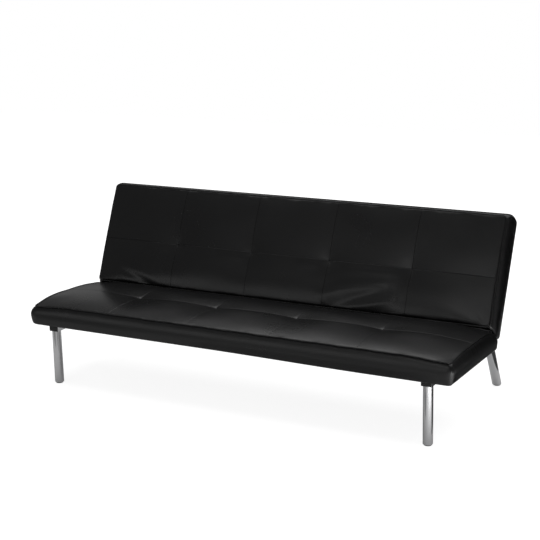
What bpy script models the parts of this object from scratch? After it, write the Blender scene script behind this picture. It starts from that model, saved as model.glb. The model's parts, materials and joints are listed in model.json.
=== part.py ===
"""Armless three-seat sofa bed with a click-clack hinge, in metres, +Z up.

Two upholstered pads lie on a low frame of chrome tube. The seat is fixed to the frame.
The back turns on two ratchet hinges, from upright, past a lounging position, to flat.

+X runs along the sofa and +Y towards its back. The origin is on the floor, under the
middle of the whole sofa. Left and right are those of someone who looks at its front.
"""

import math

import bmesh
import bpy
from mathutils import Matrix, Vector

# Pads: lengths along X, depths from the hinge line to the far edge
SEAT_LENGTH = 1.800
BACK_END_INSET = 0.012
SEAT_DEPTH = 0.460
BACK_HEIGHT = 0.460
SEAT_THICKNESS = 0.086
BACK_THICKNESS = 0.110
SEAT_TOP_HEIGHT = 0.329
HINGE_BELOW_FACE = 0.045
BACK_LEAN = 23.0
CROWN = 0.012
CORNER_RADIUS = 0.014
SIDE_BULGE = 0.003
BOTTOM_INSET = 0.005
BOTTOM_ROUND = 0.006
BELLY_HEIGHT = 0.020

# Sewing: five panels along each pad, two across it
PANELS = 5
SEAT_SEAM_DEPTH = 0.231
BACK_SEAM_HEIGHT = 0.221
SEAM_GROOVE = 0.005
SEAM_HALF_WIDTH = 0.012
TUFT_PINCH = 0.009
TUFT_RADIUS = 0.030
PANEL_STEP = 0.090
PIPING_RADIUS = 0.0025
PIPING_SEAT = 0.0036
PIPING_DROP = 0.0050

# Clearances
GAP = 0.0003
CREASE_GAP = 0.0029
BUTT_GAP = 0.0015

# Timber frame inside each pad
BOARD_WIDTH = 0.018
BOARD_HEIGHT = 0.038
PANEL_THICKNESS = 0.004
SEAT_COVER_THICKNESS = 0.001
BACK_COVER_THICKNESS = 0.003
PAD_WALL = 0.022
CROSS_BOARD_X = 0.280

# Hinge plates and ratchet: the two plates meet this far in from the seat's end
HINGE_FROM_END = 0.055
SEAT_PLATE_THICKNESS = 0.003
RATCHET_THICKNESS = 0.004
HINGE_SLOT_RADIUS = 0.030
HINGE_SLOT_SIDE = 0.002
SEAT_SLOT = (0.070, 0.0285)
BACK_SLOT = (0.055, 0.0)
PIN_RADIUS = 0.005
PIN_HEAD_RADIUS = 0.008
PIN_HEAD_THICKNESS = 0.003
SEAT_EYE_RADIUS = 0.018
HUB_RADIUS = 0.020
TOOTH_RADIUS = 0.0275
TOOTH_DEPTH = 0.004
TOOTH_WIDTH = 14.0
STOP_ANGLES = (0.0, 33.5, 67.0)
PLATE_ARM_LENGTH = 0.160
PLATE_ARM_WIDTH = 0.024
SEAT_ARM_DROP = 0.012
RATCHET_ARM_DROP = 0.034
SCREW_HOLE_RADIUS = 0.003
SCREW_HOLE_DISTANCES = (0.115, 0.148)
PAWL_PIVOT_DISTANCE = 0.050
PAWL_PIVOT_DROP = 0.022
PAWL_HUB_RADIUS = 0.0075
PAWL_PIN_RADIUS = 0.004
PAWL_WIDTH = 0.006
PAWL_CLEARANCE = 0.0004
PAWL_TAIL = 0.012
SPRING_PEG_RADIUS = 0.002
SPRING_PEG_DISTANCE = 0.106
SPRING_PEG_DROP = 0.024
SPRING_RADIUS = 0.0026
SPRING_WIRE_RADIUS = 0.0005
SPRING_TURNS = 9
SPRING_STUB = 0.004

# Chrome frame, with its places before and past the hinge line
RAIL_FROM_END = 0.089
RAIL_WIDTH = 0.040
RAIL_HEIGHT = 0.020
TUBE_WALL = 0.0015
RAIL_FRONT = 0.0045
RAIL_END_BEFORE_HINGE = 0.012
CAP_FLANGE = 0.003
CAP_PLUG = 0.007
CAP_ROUND = 0.001
FRONT_CROSS_TUBE_DISTANCE = 0.100
REAR_CROSS_TUBE_BEFORE_HINGE = 0.060
ARM_START_BEFORE_HINGE = 0.130
ARM_END_PAST_LEG = 0.0065
ARM_DROP = 0.0072
SPACER_MARGIN = 0.004
BUFFER_PAST_HINGE = 0.140
BUFFER_RADIUS = 0.012
BUFFER_CLEARANCE = 0.0006

# Legs and feet
LEG_RADIUS = 0.0185
LEG_END_ROUND = 0.004
LEG_LIFT = 0.003
LEG_TOP_THICKNESS = 0.005
LEG_LIP_RADIUS = 0.009
FRONT_LEG_DISTANCE = 0.022
REAR_LEG_PAST_HINGE = 0.1886
REAR_LEG_SPLAY = 28.0
FOOT_STEM_LENGTH = 0.015
FOOT_EDGE = 0.001
BOLT_RADIUS = 0.004
BOLT_HEAD_RADIUS = 0.0065
BOLT_HEAD_HEIGHT = 0.005
BOLT_REACH = 0.012
ARM_BOLT_BEFORE_HINGE = 0.070

# Sizes that follow from the ones above
RECLINE_TURN = 90.0 - BACK_LEAN
SPLAY = math.radians(REAR_LEG_SPLAY)
BACK_LENGTH = SEAT_LENGTH - 2 * BACK_END_INSET
HINGE_PLANE_X = SEAT_LENGTH / 2 - HINGE_FROM_END
RAIL_X = SEAT_LENGTH / 2 - RAIL_FROM_END
HINGE_HEIGHT = SEAT_TOP_HEIGHT - HINGE_BELOW_FACE
SEAT_BOTTOM = HINGE_BELOW_FACE - SEAT_THICKNESS
BACK_BOTTOM = HINGE_BELOW_FACE - BACK_THICKNESS
MITRE = math.radians(RECLINE_TURN / 2)
RAIL_TOP = SEAT_TOP_HEIGHT - SEAT_THICKNESS - GAP
RAIL_BOTTOM = RAIL_TOP - RAIL_HEIGHT
ARM_TOP = RAIL_BOTTOM - ARM_DROP
ARM_BOTTOM = ARM_TOP - RAIL_HEIGHT
RAIL_REAR = SEAT_DEPTH - RAIL_END_BEFORE_HINGE
REAR_CROSS_TUBE_DISTANCE = SEAT_DEPTH - REAR_CROSS_TUBE_BEFORE_HINGE
ARM_FRONT = SEAT_DEPTH - ARM_START_BEFORE_HINGE
ARM_BOLT_DISTANCE = SEAT_DEPTH - ARM_BOLT_BEFORE_HINGE
BUFFER_DISTANCE = SEAT_DEPTH + BUFFER_PAST_HINGE
REAR_LEG_TOP_DISTANCE = SEAT_DEPTH + REAR_LEG_PAST_HINGE
REAR_FOOT_DISTANCE = REAR_LEG_TOP_DISTANCE + ARM_BOTTOM * math.tan(SPLAY)
ARM_REAR = REAR_LEG_TOP_DISTANCE + LEG_RADIUS / math.cos(SPLAY) + ARM_END_PAST_LEG
PAWL_PIVOT = Vector((PAWL_PIVOT_DISTANCE, -PAWL_PIVOT_DROP))
SIDES = (("left", -1), ("right", 1))


def circle(centre, radius, sides, start=0.0, end=360.0):
    """Points on a circle or an arc, in degrees. A full circle doesn't repeat its start."""
    steps = sides if end - start >= 360.0 else sides - 1
    angles = [math.radians(start + (end - start) * step / steps) for step in range(sides)]
    return [
        Vector((centre[0] + radius * math.cos(angle), centre[1] + radius * math.sin(angle)))
        for angle in angles
    ]


def leg_end_roll():
    """The rounded foot end of a leg tube, from its side down to its underside."""
    centre = (LEG_RADIUS - LEG_END_ROUND, LEG_LIFT + LEG_END_ROUND)
    return [tuple(point) for point in circle(centre, LEG_END_ROUND, 4, 0.0, -90.0)]


def rearmost():
    """How far behind the seat's front edge the splayed rear legs reach."""
    reach = [radius / math.cos(SPLAY) - height * math.tan(SPLAY) for radius, height in leg_end_roll()]
    return REAR_FOOT_DISTANCE + max(reach)


def from_front(distance):
    """World Y of a place that lies this far behind the seat's front edge."""
    return distance - (rearmost() - SIDE_BULGE) / 2


def clear_scene():
    for old in list(bpy.data.objects):
        bpy.data.objects.remove(old, do_unlink=True)


def make_material(name, colour, roughness, metallic=0.0):
    material = bpy.data.materials.new(name)
    material.use_nodes = True
    shader = material.node_tree.nodes["Principled BSDF"]
    shader.inputs["Base Color"].default_value = (*colour, 1.0)
    shader.inputs["Roughness"].default_value = roughness
    shader.inputs["Metallic"].default_value = metallic
    material.diffuse_color = (*colour, 1.0)
    return material


def make_empty(name, location, turn=0.0):
    empty = bpy.data.objects.new(name, None)
    empty.location = location
    empty.rotation_euler = (math.radians(turn), 0.0, 0.0)
    bpy.context.scene.collection.objects.link(empty)
    return empty


def finish_object(name, bm, material, parent=None):
    """Turn a bmesh into a named object with its faces pointing out."""
    bmesh.ops.recalc_face_normals(bm, faces=bm.faces)
    mesh = bpy.data.meshes.new(name)
    bm.to_mesh(mesh)
    bm.free()
    mesh.materials.append(material)
    mesh.shade_smooth()
    mesh.set_sharp_from_angle(angle=math.radians(35))
    piece = bpy.data.objects.new(name, mesh)
    bpy.context.scene.collection.objects.link(piece)
    piece.parent = parent
    return piece


def cut_away(piece, cutter):
    """Cut one solid out of a piece, and keep the cutter as a wire guide."""
    cutter.hide_render = True
    cutter.display_type = "WIRE"
    cut = piece.modifiers.new(cutter.name, "BOOLEAN")
    cut.operation = "DIFFERENCE"
    cut.solver = "EXACT"
    cut.object = cutter


def make_box(name, low, high, material, parent=None):
    """A plain block between two opposite corners."""
    size = Vector(high) - Vector(low)
    centre = (Vector(high) + Vector(low)) / 2
    place = Matrix.Translation(centre) @ Matrix.Diagonal((*size, 1.0))
    bm = bmesh.new()
    bmesh.ops.create_cube(bm, size=1.0, matrix=place)
    return finish_object(name, bm, material, parent)


def add_loop(bm, points, x):
    """A closed loop of points in the YZ plane at an X place."""
    return [bm.verts.new((x, point[0], point[1])) for point in points]


def fill_between(bm, loops):
    """Fill the area inside the first loop and outside the others."""
    edges = [bm.edges.new(pair) for loop in loops for pair in zip(loop, loop[1:] + loop[:1])]
    bmesh.ops.triangle_fill(bm, use_beauty=True, use_dissolve=False, edges=edges)


def make_plate(name, outline, span, material, parent, holes=(), pegs=()):
    """A flat plate between two X places, with round holes and with pegs past its far face.

    The outline holds (y, z) points. A hole is (centre, radius), and a peg is (centre,
    radius, end), where end is the X place that the peg reaches.
    """
    rounds = [circle(hole[0], hole[1], 12) for hole in holes]
    bases = [circle(peg[0], peg[1], 12) for peg in pegs]
    bm = bmesh.new()
    near, far = [[add_loop(bm, points, x) for points in [outline] + rounds + bases] for x in span]
    fill_between(bm, near)
    fill_between(bm, far)
    walls = 1 + len(rounds)
    for loop, other in zip(near[:walls], far[:walls]):
        bridge_rings(bm, loop, other)
    for peg, base, loop, other in zip(pegs, bases, near[walls:], far[walls:]):
        tip = add_loop(bm, base, peg[2])
        bm.faces.new(loop)
        bridge_rings(bm, other, tip)
        bm.faces.new(tip)
    return finish_object(name, bm, material, parent)


def add_lathe(bm, profile, sides, hollow=False):
    """Turn (radius, height) points about Z: a hollow ring, or a solid with a flat face at each end."""
    rings = []
    for radius, height in profile:
        points = circle((0.0, 0.0), radius, sides)
        rings.append([bm.verts.new((*point, height)) for point in points])
    for ring, other in zip(rings, rings[1:]):
        bridge_rings(bm, ring, other)
    if hollow:
        bridge_rings(bm, rings[-1], rings[0])
    else:
        bm.faces.new(rings[0])
        bm.faces.new(rings[-1])


def bridge_rings(bm, ring, other):
    """Join two rings of as many points with faces."""
    for step, point in enumerate(ring):
        before = step - 1
        bm.faces.new((ring[before], point, other[step], other[before]))


def mitre_depth(height):
    """How far a pad's hinge end lies from the hinge line at a height above it."""
    return max(BUTT_GAP, CREASE_GAP / math.cos(MITRE) + height * math.tan(MITRE))


def pad_rings(length, depth, bottom):
    """The pad's outlines from its sewn top edge down: height, half length, near and far."""
    half = length / 2
    top = HINGE_BELOW_FACE
    shoulder = top - PIPING_DROP
    knee = (BUTT_GAP - CREASE_GAP / math.cos(MITRE)) / math.tan(MITRE)
    heel = bottom + BOTTOM_ROUND
    crease_inset = PIPING_SEAT / math.cos(MITRE) ** 2
    return [
        (top, half - PIPING_SEAT, mitre_depth(top) + crease_inset, depth - PIPING_SEAT),
        (shoulder, half, mitre_depth(shoulder), depth),
        (BELLY_HEIGHT, half + SIDE_BULGE, mitre_depth(BELLY_HEIGHT), depth + SIDE_BULGE),
        (knee, half + SIDE_BULGE, BUTT_GAP, depth + SIDE_BULGE),
        (heel, half, BUTT_GAP, depth),
        (bottom, half - BOTTOM_INSET, BUTT_GAP + BOTTOM_INSET, depth - BOTTOM_INSET),
    ]


def seam_places(length):
    return [length * (step / PANELS - 0.5) for step in range(1, PANELS)]


def grid_lines(low, high, seams):
    """Places of the grid lines: round corners at both ends and close lines at each seam."""
    keys = [low, low + 0.4 * CORNER_RADIUS, low + CORNER_RADIUS]
    keys += [high - CORNER_RADIUS, high - 0.4 * CORNER_RADIUS, high]
    for seam in seams:
        keys += [seam + share * SEAM_HALF_WIDTH for share in (-2.8, -1.0, 0.0, 1.0, 2.8)]
    keys.sort()
    lines = keys[:1]
    for start, end in zip(keys, keys[1:]):
        parts = max(1, round((end - start) / PANEL_STEP))
        lines += [start + (end - start) * part / parts for part in range(1, parts + 1)]
    return lines


def place_on_ring(x, depth, base, ring):
    """Move a grid point to one ring's outline, with the ring's corners rounded in plan."""
    half, near, far = ring[1:]
    if abs(x) > base[1] - 1.01 * CORNER_RADIUS:
        x += math.copysign(half - base[1], x)
    if depth < base[2] + 1.01 * CORNER_RADIUS:
        depth += near - base[2]
    elif depth > base[3] - 1.01 * CORNER_RADIUS:
        depth += far - base[3]
    past_side = abs(x) - (half - CORNER_RADIUS)
    past_near = (near + CORNER_RADIUS) - depth
    past_far = depth - (far - CORNER_RADIUS)
    past_end = max(past_near, past_far)
    if past_side > 0.0 and past_end > 0.0:
        pull = max(past_side, past_end) / math.hypot(past_side, past_end)
        x = math.copysign(half - CORNER_RADIUS + past_side * pull, x)
        if past_near > past_far:
            depth = near + CORNER_RADIUS - past_near * pull
        else:
            depth = far - CORNER_RADIUS + past_far * pull
    return x, depth


def swell(share, power):
    """A cushion's rise across it: 0 at both edges (share 0 and 1) and 1 in the middle."""
    return 1.0 - abs(2.0 * share - 1.0) ** power


def pad_height(x, depth, ring, cross_seams, long_seam):
    """Height of the show face: crown, sewn channels and one pinch at each crossing."""
    top, half, near, far = ring
    across = max(0.0, swell((x + half) / (2 * half), 12))
    along = max(0.0, swell((depth - near) / (far - near), 4))
    seam_gap = min(abs(x - seam) for seam in cross_seams)
    groove = math.exp(-((seam_gap / SEAM_HALF_WIDTH) ** 2))
    groove = max(groove, math.exp(-(((depth - long_seam) / SEAM_HALF_WIDTH) ** 2)))
    pinch_gap = math.hypot(seam_gap, depth - long_seam)
    pinch = math.exp(-((pinch_gap / TUFT_RADIUS) ** 2))
    hidden = across ** 0.5 * along ** 0.5
    return top + CROWN * across * along - hidden * (SEAM_GROOVE * groove + TUFT_PINCH * pinch)


def grid_edge(columns, rows):
    """Grid indices of the outline, once round."""
    edge = [(column, 0) for column in range(columns)]
    edge += [(columns - 1, row) for row in range(1, rows)]
    edge += [(column, rows - 1) for column in range(columns - 2, -1, -1)]
    edge += [(0, row) for row in range(rows - 2, 0, -1)]
    return edge


def make_pad(name, length, depth, bottom, long_seam, facing, material, parent):
    """An upholstered block. facing is -1 for the seat, which runs forward, and 1 for the back."""
    rings = pad_rings(length, depth, bottom)
    top_ring = rings[0]
    cross_seams = seam_places(length)
    columns = grid_lines(-top_ring[1], top_ring[1], cross_seams)
    rows = grid_lines(top_ring[2], top_ring[3], [long_seam])
    bm = bmesh.new()
    grid = {}
    for column, x in enumerate(columns):
        for row, place in enumerate(rows):
            flat_x, flat_y = place_on_ring(x, place, top_ring, top_ring)
            height = pad_height(x, place, top_ring, cross_seams, long_seam)
            grid[column, row] = bm.verts.new((flat_x, facing * flat_y, height))
    for column in range(len(columns) - 1):
        for row in range(len(rows) - 1):
            corners = [(column, row), (column + 1, row), (column + 1, row + 1), (column, row + 1)]
            bm.faces.new([grid[corner] for corner in corners])
    edge = grid_edge(len(columns), len(rows))
    upper = [grid[index] for index in edge]
    for ring in rings[1:]:
        lower = []
        for column, row in edge:
            flat_x, flat_y = place_on_ring(columns[column], rows[row], top_ring, ring)
            lower.append(bm.verts.new((flat_x, facing * flat_y, ring[0])))
        bridge_rings(bm, upper, lower)
        upper = lower
    bmesh.ops.triangulate(bm, faces=bm.faces)
    bm.faces.new(upper)
    return finish_object(name, bm, material, parent)


def piping_path(length, depth):
    """The sewn edge of the show face, once round, with its four round corners."""
    ring = (HINGE_BELOW_FACE, length / 2, mitre_depth(HINGE_BELOW_FACE), depth)
    columns = grid_lines(-ring[1], ring[1], [])
    rows = grid_lines(ring[2], ring[3], [])
    columns = columns[:3] + columns[-3:]
    rows = rows[:3] + rows[-3:]
    edge = grid_edge(len(columns), len(rows))
    return [Vector(place_on_ring(columns[column], rows[row], ring, ring)) for column, row in edge]


def make_piping(name, length, depth, facing, material, parent):
    """A round cord sewn into the edge of a pad's show face, as one closed loop."""
    path = piping_path(length, depth)
    bm = bmesh.new()
    rings = []
    for step, point in enumerate(path):
        before = (point - path[step - 1]).normalized()
        after = (path[(step + 1) % len(path)] - point).normalized()
        along = (before + after).normalized()
        outward = Vector((along.y, -along.x)) / along.dot(after)
        ring = []
        for turn in circle((0.0, 0.0), PIPING_RADIUS, 8):
            spot = point + outward * turn.x
            ring.append(bm.verts.new((spot.x, facing * spot.y, HINGE_BELOW_FACE + turn.y)))
        rings.append(ring)
    for ring, other in zip(rings, rings[1:] + rings[:1]):
        bridge_rings(bm, ring, other)
    return finish_object(name, bm, material, parent)


def seat_board_x():
    """Where the seat's end boards start: past the seat plate of the hinge."""
    return HINGE_PLANE_X + GAP + SEAT_PLATE_THICKNESS + GAP


def back_board_x():
    """Where the back's end boards start: against the outer face of the ratchet plate."""
    return HINGE_PLANE_X + GAP


def slot_span():
    """The hinge slot's two X places, clear of the spring inside and of the pin's head outside."""
    inner = HINGE_PLANE_X - RATCHET_THICKNESS - GAP - 2 * (SPRING_RADIUS + SPRING_WIRE_RADIUS)
    outer = seat_board_x() + PIN_HEAD_THICKNESS
    return inner - HINGE_SLOT_SIDE, outer + HINGE_SLOT_SIDE


def slot_outline(reach, roof, floor):
    """Round at the hinge line, then square: open downwards and towards the other pad."""
    start = math.degrees(math.asin(roof / HINGE_SLOT_RADIUS))
    arc = circle((0.0, 0.0), HINGE_SLOT_RADIUS, 13, start, 180.0)
    return [Vector((reach, roof))] + arc + [Vector((-HINGE_SLOT_RADIUS, floor)), Vector((reach, floor))]


def hollow_pad(pad, name, facing, depth, bottom, board_x, cover, slot, parent, material):
    """Cut the timber frame's pocket and the two hinge slots out of a pad."""
    half = board_x + BOARD_WIDTH + GAP
    roof = bottom + cover + BOARD_HEIGHT + PANEL_THICKNESS + 4 * GAP
    ends = sorted((facing * PAD_WALL, facing * (depth - PAD_WALL)))
    low = (-half, ends[0], bottom - PAD_WALL)
    cut_away(pad, make_box(f"{name}_pocket", low, (half, ends[1], roof), material, parent))
    reach, slot_roof = slot
    outline = [(facing * y, z) for y, z in slot_outline(reach, slot_roof, bottom - PAD_WALL)]
    for side, sign in SIDES:
        span = [sign * x for x in slot_span()]
        cut_away(pad, make_plate(f"{name}_slot_{side}", outline, span, material, parent))


def make_cover(name, facing, far, half, bottom, thickness, slot_reach, material, parent):
    """A thin sheet over the pad's open side, notched round both hinge slots."""
    near = PAD_WALL + GAP
    inner = slot_span()[0] - GAP
    step = slot_reach + GAP
    right = [(inner, near), (inner, step), (half, step), (half, far)]
    outline = right + [(-x, y) for x, y in reversed(right)]
    bm = bmesh.new()
    levels = (bottom + GAP, bottom + GAP + thickness)
    rings = [[bm.verts.new((x, facing * y, level)) for x, y in outline] for level in levels]
    for ring in rings:
        bm.faces.new(ring)
    bridge_rings(bm, *rings)
    return finish_object(name, bm, material, parent)


def make_timber_frame(name, facing, depth, bottom, board_x, cover, slot_reach, colours, parent):
    """Boards on edge, a stiff panel under the foam and a cover over the pad's open side."""
    wood, panel_material, cover_material = colours
    near = PAD_WALL + GAP
    far = depth - PAD_WALL - GAP
    low = bottom + cover + 2 * GAP
    high = low + BOARD_HEIGHT
    inner = slot_span()[0] - GAP

    def board(label, x_range, y_range, z_range=(low, high), material=wood):
        ends = sorted((facing * y_range[0], facing * y_range[1]))
        corners = [(x_range[0], ends[0], z_range[0]), (x_range[1], ends[1], z_range[1])]
        make_box(f"{name}_{label}", *corners, material, parent)

    for side, sign in SIDES:
        x_range = sorted((sign * board_x, sign * (board_x + BOARD_WIDTH)))
        board(f"end_board_{side}", x_range, (near, far))
        middle = sign * CROSS_BOARD_X
        x_range = (middle - BOARD_WIDTH / 2, middle + BOARD_WIDTH / 2)
        inside = (near + BOARD_WIDTH + GAP, far - BOARD_WIDTH - GAP)
        board(f"cross_board_{side}", x_range, inside)
    board("hinge_board", (-inner, inner), (near, near + BOARD_WIDTH))
    far_end = board_x - GAP
    board("far_board", (-far_end, far_end), (far - BOARD_WIDTH, far))
    panel_z = (high + GAP, high + GAP + PANEL_THICKNESS)
    board("panel", (-inner, inner), (near, far), panel_z, panel_material)
    cover_name = f"{name}_dust_cover"
    half = board_x + BOARD_WIDTH
    make_cover(cover_name, facing, far, half, bottom, cover, slot_reach, cover_material, parent)


def hinge_arm(drop, bottom_start):
    """The straight end of a hinge plate, which is screwed to a pad's end board."""
    return [
        (bottom_start, -drop - PLATE_ARM_WIDTH),
        (PLATE_ARM_LENGTH, -drop - PLATE_ARM_WIDTH),
        (PLATE_ARM_LENGTH, -drop),
    ]


def flip(points, facing):
    return [(facing * y, z) for y, z in points]


def screw_holes(drop, facing):
    height = -drop - PLATE_ARM_WIDTH / 2
    return [((facing * distance, height), SCREW_HOLE_RADIUS) for distance in SCREW_HOLE_DISTANCES]


def make_seat_plate(side, sign, material, parent):
    """Fixed plate: an eye for the hinge pin, pegs for the pawl and its spring, and an arm."""
    eye = circle((0.0, 0.0), SEAT_EYE_RADIUS, 14, 50.0, 260.0)
    outline = hinge_arm(SEAT_ARM_DROP, SEAT_EYE_RADIUS)
    outline.append((PAWL_PIVOT_DISTANCE + PLATE_ARM_WIDTH, -SEAT_ARM_DROP))
    outline += [tuple(point) for point in eye]
    start = HINGE_PLANE_X + GAP + SEAT_PLATE_THICKNESS
    span = (sign * start, sign * (HINGE_PLANE_X + GAP))
    pawl_end = sign * (HINGE_PLANE_X - RATCHET_THICKNESS - GAP)
    spring_end = sign * (spring_x() - SPRING_RADIUS)
    pegs = [
        ((-PAWL_PIVOT.x, PAWL_PIVOT.y), PAWL_PIN_RADIUS, pawl_end),
        ((-SPRING_PEG_DISTANCE, -SPRING_PEG_DROP), SPRING_PEG_RADIUS, spring_end),
    ]
    holes = [((0.0, 0.0), PIN_RADIUS + GAP)] + screw_holes(SEAT_ARM_DROP, -1)
    name = f"hinge_seat_plate_{side}"
    return make_plate(name, flip(outline, -1), span, material, parent, holes, pegs)


def stop_angle(turn):
    """Where on the ratchet a stop lies, so that it meets the pawl after this turn of the back."""
    return 180.0 - math.degrees(math.atan2(pawl_tip().y, pawl_tip().x)) - RECLINE_TURN + turn


def ratchet_rim():
    """The toothed rim: a run-in slope down to a steep stop at each resting place of the back."""
    rim = []
    for turn in STOP_ANGLES:
        stop = stop_angle(turn)
        rim += circle((0.0, 0.0), TOOTH_RADIUS, 3, stop - 1.5 * TOOTH_WIDTH, stop - TOOTH_WIDTH)
        rim += circle((0.0, 0.0), TOOTH_RADIUS - TOOTH_DEPTH, 2, stop - TOOTH_WIDTH / 4, stop)
        rim += circle((0.0, 0.0), TOOTH_RADIUS, 3, stop + 0.5, stop + TOOTH_WIDTH / 2)
    return rim


def make_ratchet_plate(side, sign, material, parent):
    """Moving plate: the ratchet round the hinge pin, and an arm that is screwed to the back."""
    last = stop_angle(STOP_ANGLES[-1]) + TOOTH_WIDTH
    outline = hinge_arm(RATCHET_ARM_DROP, HUB_RADIUS)
    outline += [(HUB_RADIUS + PLATE_ARM_WIDTH, -RATCHET_ARM_DROP)]
    outline += [tuple(point) for point in circle((0.0, 0.0), HUB_RADIUS, 5, -18.0, 45.0)]
    outline += [tuple(point) for point in ratchet_rim()]
    outline += [tuple(point) for point in circle((0.0, 0.0), HUB_RADIUS, 6, last, 265.0)]
    span = (sign * HINGE_PLANE_X, sign * (HINGE_PLANE_X - RATCHET_THICKNESS))
    holes = [((0.0, 0.0), PIN_RADIUS + GAP)] + screw_holes(RATCHET_ARM_DROP, 1)
    return make_plate(f"hinge_ratchet_{side}", outline, span, material, parent, holes)


def pawl_tip():
    """Where the pawl meets the rim: there its motion points straight at the hinge pin."""
    reach = PAWL_PIVOT.length
    turn = math.atan2(PAWL_PIVOT.y, PAWL_PIVOT.x) + math.acos(TOOTH_RADIUS / reach)
    return Vector((math.cos(turn), math.sin(turn))) * TOOTH_RADIUS


def pawl_point(along, inward):
    """A place on the pawl from its pivot: towards its tip, and towards the hinge pin."""
    arm = (pawl_tip() - PAWL_PIVOT).normalized()
    point = arm * along - pawl_tip().normalized() * inward
    return (-point.x, point.y)


def make_pawl(side, sign, material, parent):
    """The catch: hub, arm, nose and a tail with a peg, drawn just clear of the rim."""
    reach = (pawl_tip() - PAWL_PIVOT).length
    back = -PAWL_CLEARANCE - PAWL_WIDTH
    outline = circle((0.0, 0.0), PAWL_HUB_RADIUS, 4, 60.0, 130.0)
    outline += circle((-PAWL_TAIL, 0.0), 2 * SPRING_PEG_RADIUS, 6, 100.0, 260.0)
    outline += circle((0.0, 0.0), PAWL_HUB_RADIUS, 4, 230.0, 300.0)
    outline += [(reach, back), (reach + PAWL_WIDTH / 2, -PAWL_WIDTH / 2)]
    outline += [(reach + PAWL_WIDTH / 3, -PAWL_CLEARANCE), (reach, -PAWL_CLEARANCE)]
    outline += [(reach - PAWL_WIDTH / 2, -PAWL_WIDTH / 2)]
    outline = [pawl_point(*point) for point in outline]
    peg = (pawl_point(-PAWL_TAIL, 0.0), SPRING_PEG_RADIUS, sign * (spring_x() - SPRING_RADIUS))
    span = (sign * HINGE_PLANE_X, sign * (HINGE_PLANE_X - RATCHET_THICKNESS))
    hole = ((0.0, 0.0), PAWL_PIN_RADIUS + GAP)
    return make_plate(f"hinge_pawl_{side}", outline, span, material, parent, [hole], [peg])


def spring_x():
    """Middle of the layer that the spring lies in, on the ratchet's inner side."""
    return HINGE_PLANE_X - RATCHET_THICKNESS - GAP - SPRING_RADIUS - SPRING_WIRE_RADIUS


def make_hinge_pin(side, sign, material, parent):
    """A rivet along X through both plates, with a round head at each end."""
    ends = (seat_board_x() - GAP, HINGE_PLANE_X - RATCHET_THICKNESS)
    outer, inner = ends[0] + GAP, ends[1] - GAP
    profile = [(PIN_HEAD_RADIUS * 0.8, outer + PIN_HEAD_THICKNESS)]
    profile += [(PIN_HEAD_RADIUS, outer + PIN_HEAD_THICKNESS / 2), (PIN_HEAD_RADIUS, outer)]
    profile += [(PIN_RADIUS, outer), (PIN_RADIUS, inner), (PIN_HEAD_RADIUS, inner)]
    profile += [(PIN_HEAD_RADIUS, inner - PIN_HEAD_THICKNESS / 2)]
    profile += [(PIN_HEAD_RADIUS * 0.8, inner - PIN_HEAD_THICKNESS)]
    bm = bmesh.new()
    add_lathe(bm, profile, 16)
    bmesh.ops.rotate(bm, verts=bm.verts, matrix=Matrix.Rotation(math.radians(sign * 90), 3, "Y"))
    return finish_object(f"hinge_pin_{side}", bm, material, parent)


def spring_points(start, end, x):
    """A helix between two pegs, with a straight stub at each end."""
    along = (end - start).normalized()
    across = Vector((-along.y, along.x))
    trim = SPRING_PEG_RADIUS + SPRING_WIRE_RADIUS + GAP
    length = (end - start).length - 2 * trim
    coil = length - 2 * SPRING_STUB
    steps = SPRING_TURNS * 8
    points = []
    for step in range(steps + 1):
        angle = step * math.tau / 8
        radius = SPRING_RADIUS * min(1.0, step / 4, (steps - step) / 4)
        reach = trim + SPRING_STUB + coil * step / steps
        spot = start + along * reach + across * (radius * math.cos(angle))
        points.append(Vector((x + radius * math.sin(angle), spot.x, spot.y)))
    first = start + along * trim
    last = end - along * trim
    return [Vector((x, first.x, first.y))] + points + [Vector((x, last.x, last.y))]


def least_gap(points, apart):
    """Smallest free space between two stretches of wire that lie at least so many points apart."""
    nearest = min(
        (points[one] - points[other]).length
        for one in range(len(points))
        for other in range(one + apart, len(points))
    )
    return nearest - 2 * SPRING_WIRE_RADIUS


def make_spring(side, sign, material, parent):
    """The spring that pulls the pawl against the ratchet, from the pawl's tail to the plate's peg."""
    tail = Vector(pawl_point(-PAWL_TAIL, 0.0)) + Vector((-PAWL_PIVOT.x, PAWL_PIVOT.y))
    peg = Vector((-SPRING_PEG_DISTANCE, -SPRING_PEG_DROP))
    points = spring_points(tail, peg, sign * spring_x())
    print(f"hinge_spring_{side}: least gap between turns {1000 * least_gap(points, 5):.2f} mm")
    curve = bpy.data.curves.new(f"hinge_spring_{side}", "CURVE")
    curve.dimensions = "3D"
    curve.bevel_depth = SPRING_WIRE_RADIUS
    curve.bevel_resolution = 1
    curve.use_fill_caps = True
    spline = curve.splines.new("POLY")
    spline.points.add(len(points) - 1)
    for spot, point in zip(spline.points, points):
        spot.co = (*point, 1.0)
    curve.materials.append(material)
    spring = bpy.data.objects.new(f"hinge_spring_{side}", curve)
    bpy.context.scene.collection.objects.link(spring)
    spring.parent = parent
    return spring


def add_square_rings(bm, low, high, axis, stations):
    """Four-cornered rings along an axis, each set in from the given box: (inset, place)."""
    across = [index for index in range(3) if index != axis]
    rings = []
    for inset, place in stations:
        ring = []
        for ends in ((low, low), (high, low), (high, high), (low, high)):
            corner = [place, place, place]
            for index, end in zip(across, ends):
                corner[index] = end[index] + (inset if end is low else -inset)
            ring.append(bm.verts.new(corner))
        rings.append(ring)
    return rings


def make_box_tube(name, low, high, axis, material):
    """A rectangular tube with open ends."""
    bm = bmesh.new()
    stations = [(0.0, low[axis]), (0.0, high[axis]), (TUBE_WALL, high[axis]), (TUBE_WALL, low[axis])]
    rings = add_square_rings(bm, low, high, axis, stations)
    for ring, other in zip(rings, rings[1:] + rings[:1]):
        bridge_rings(bm, ring, other)
    return finish_object(name, bm, material)


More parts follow.
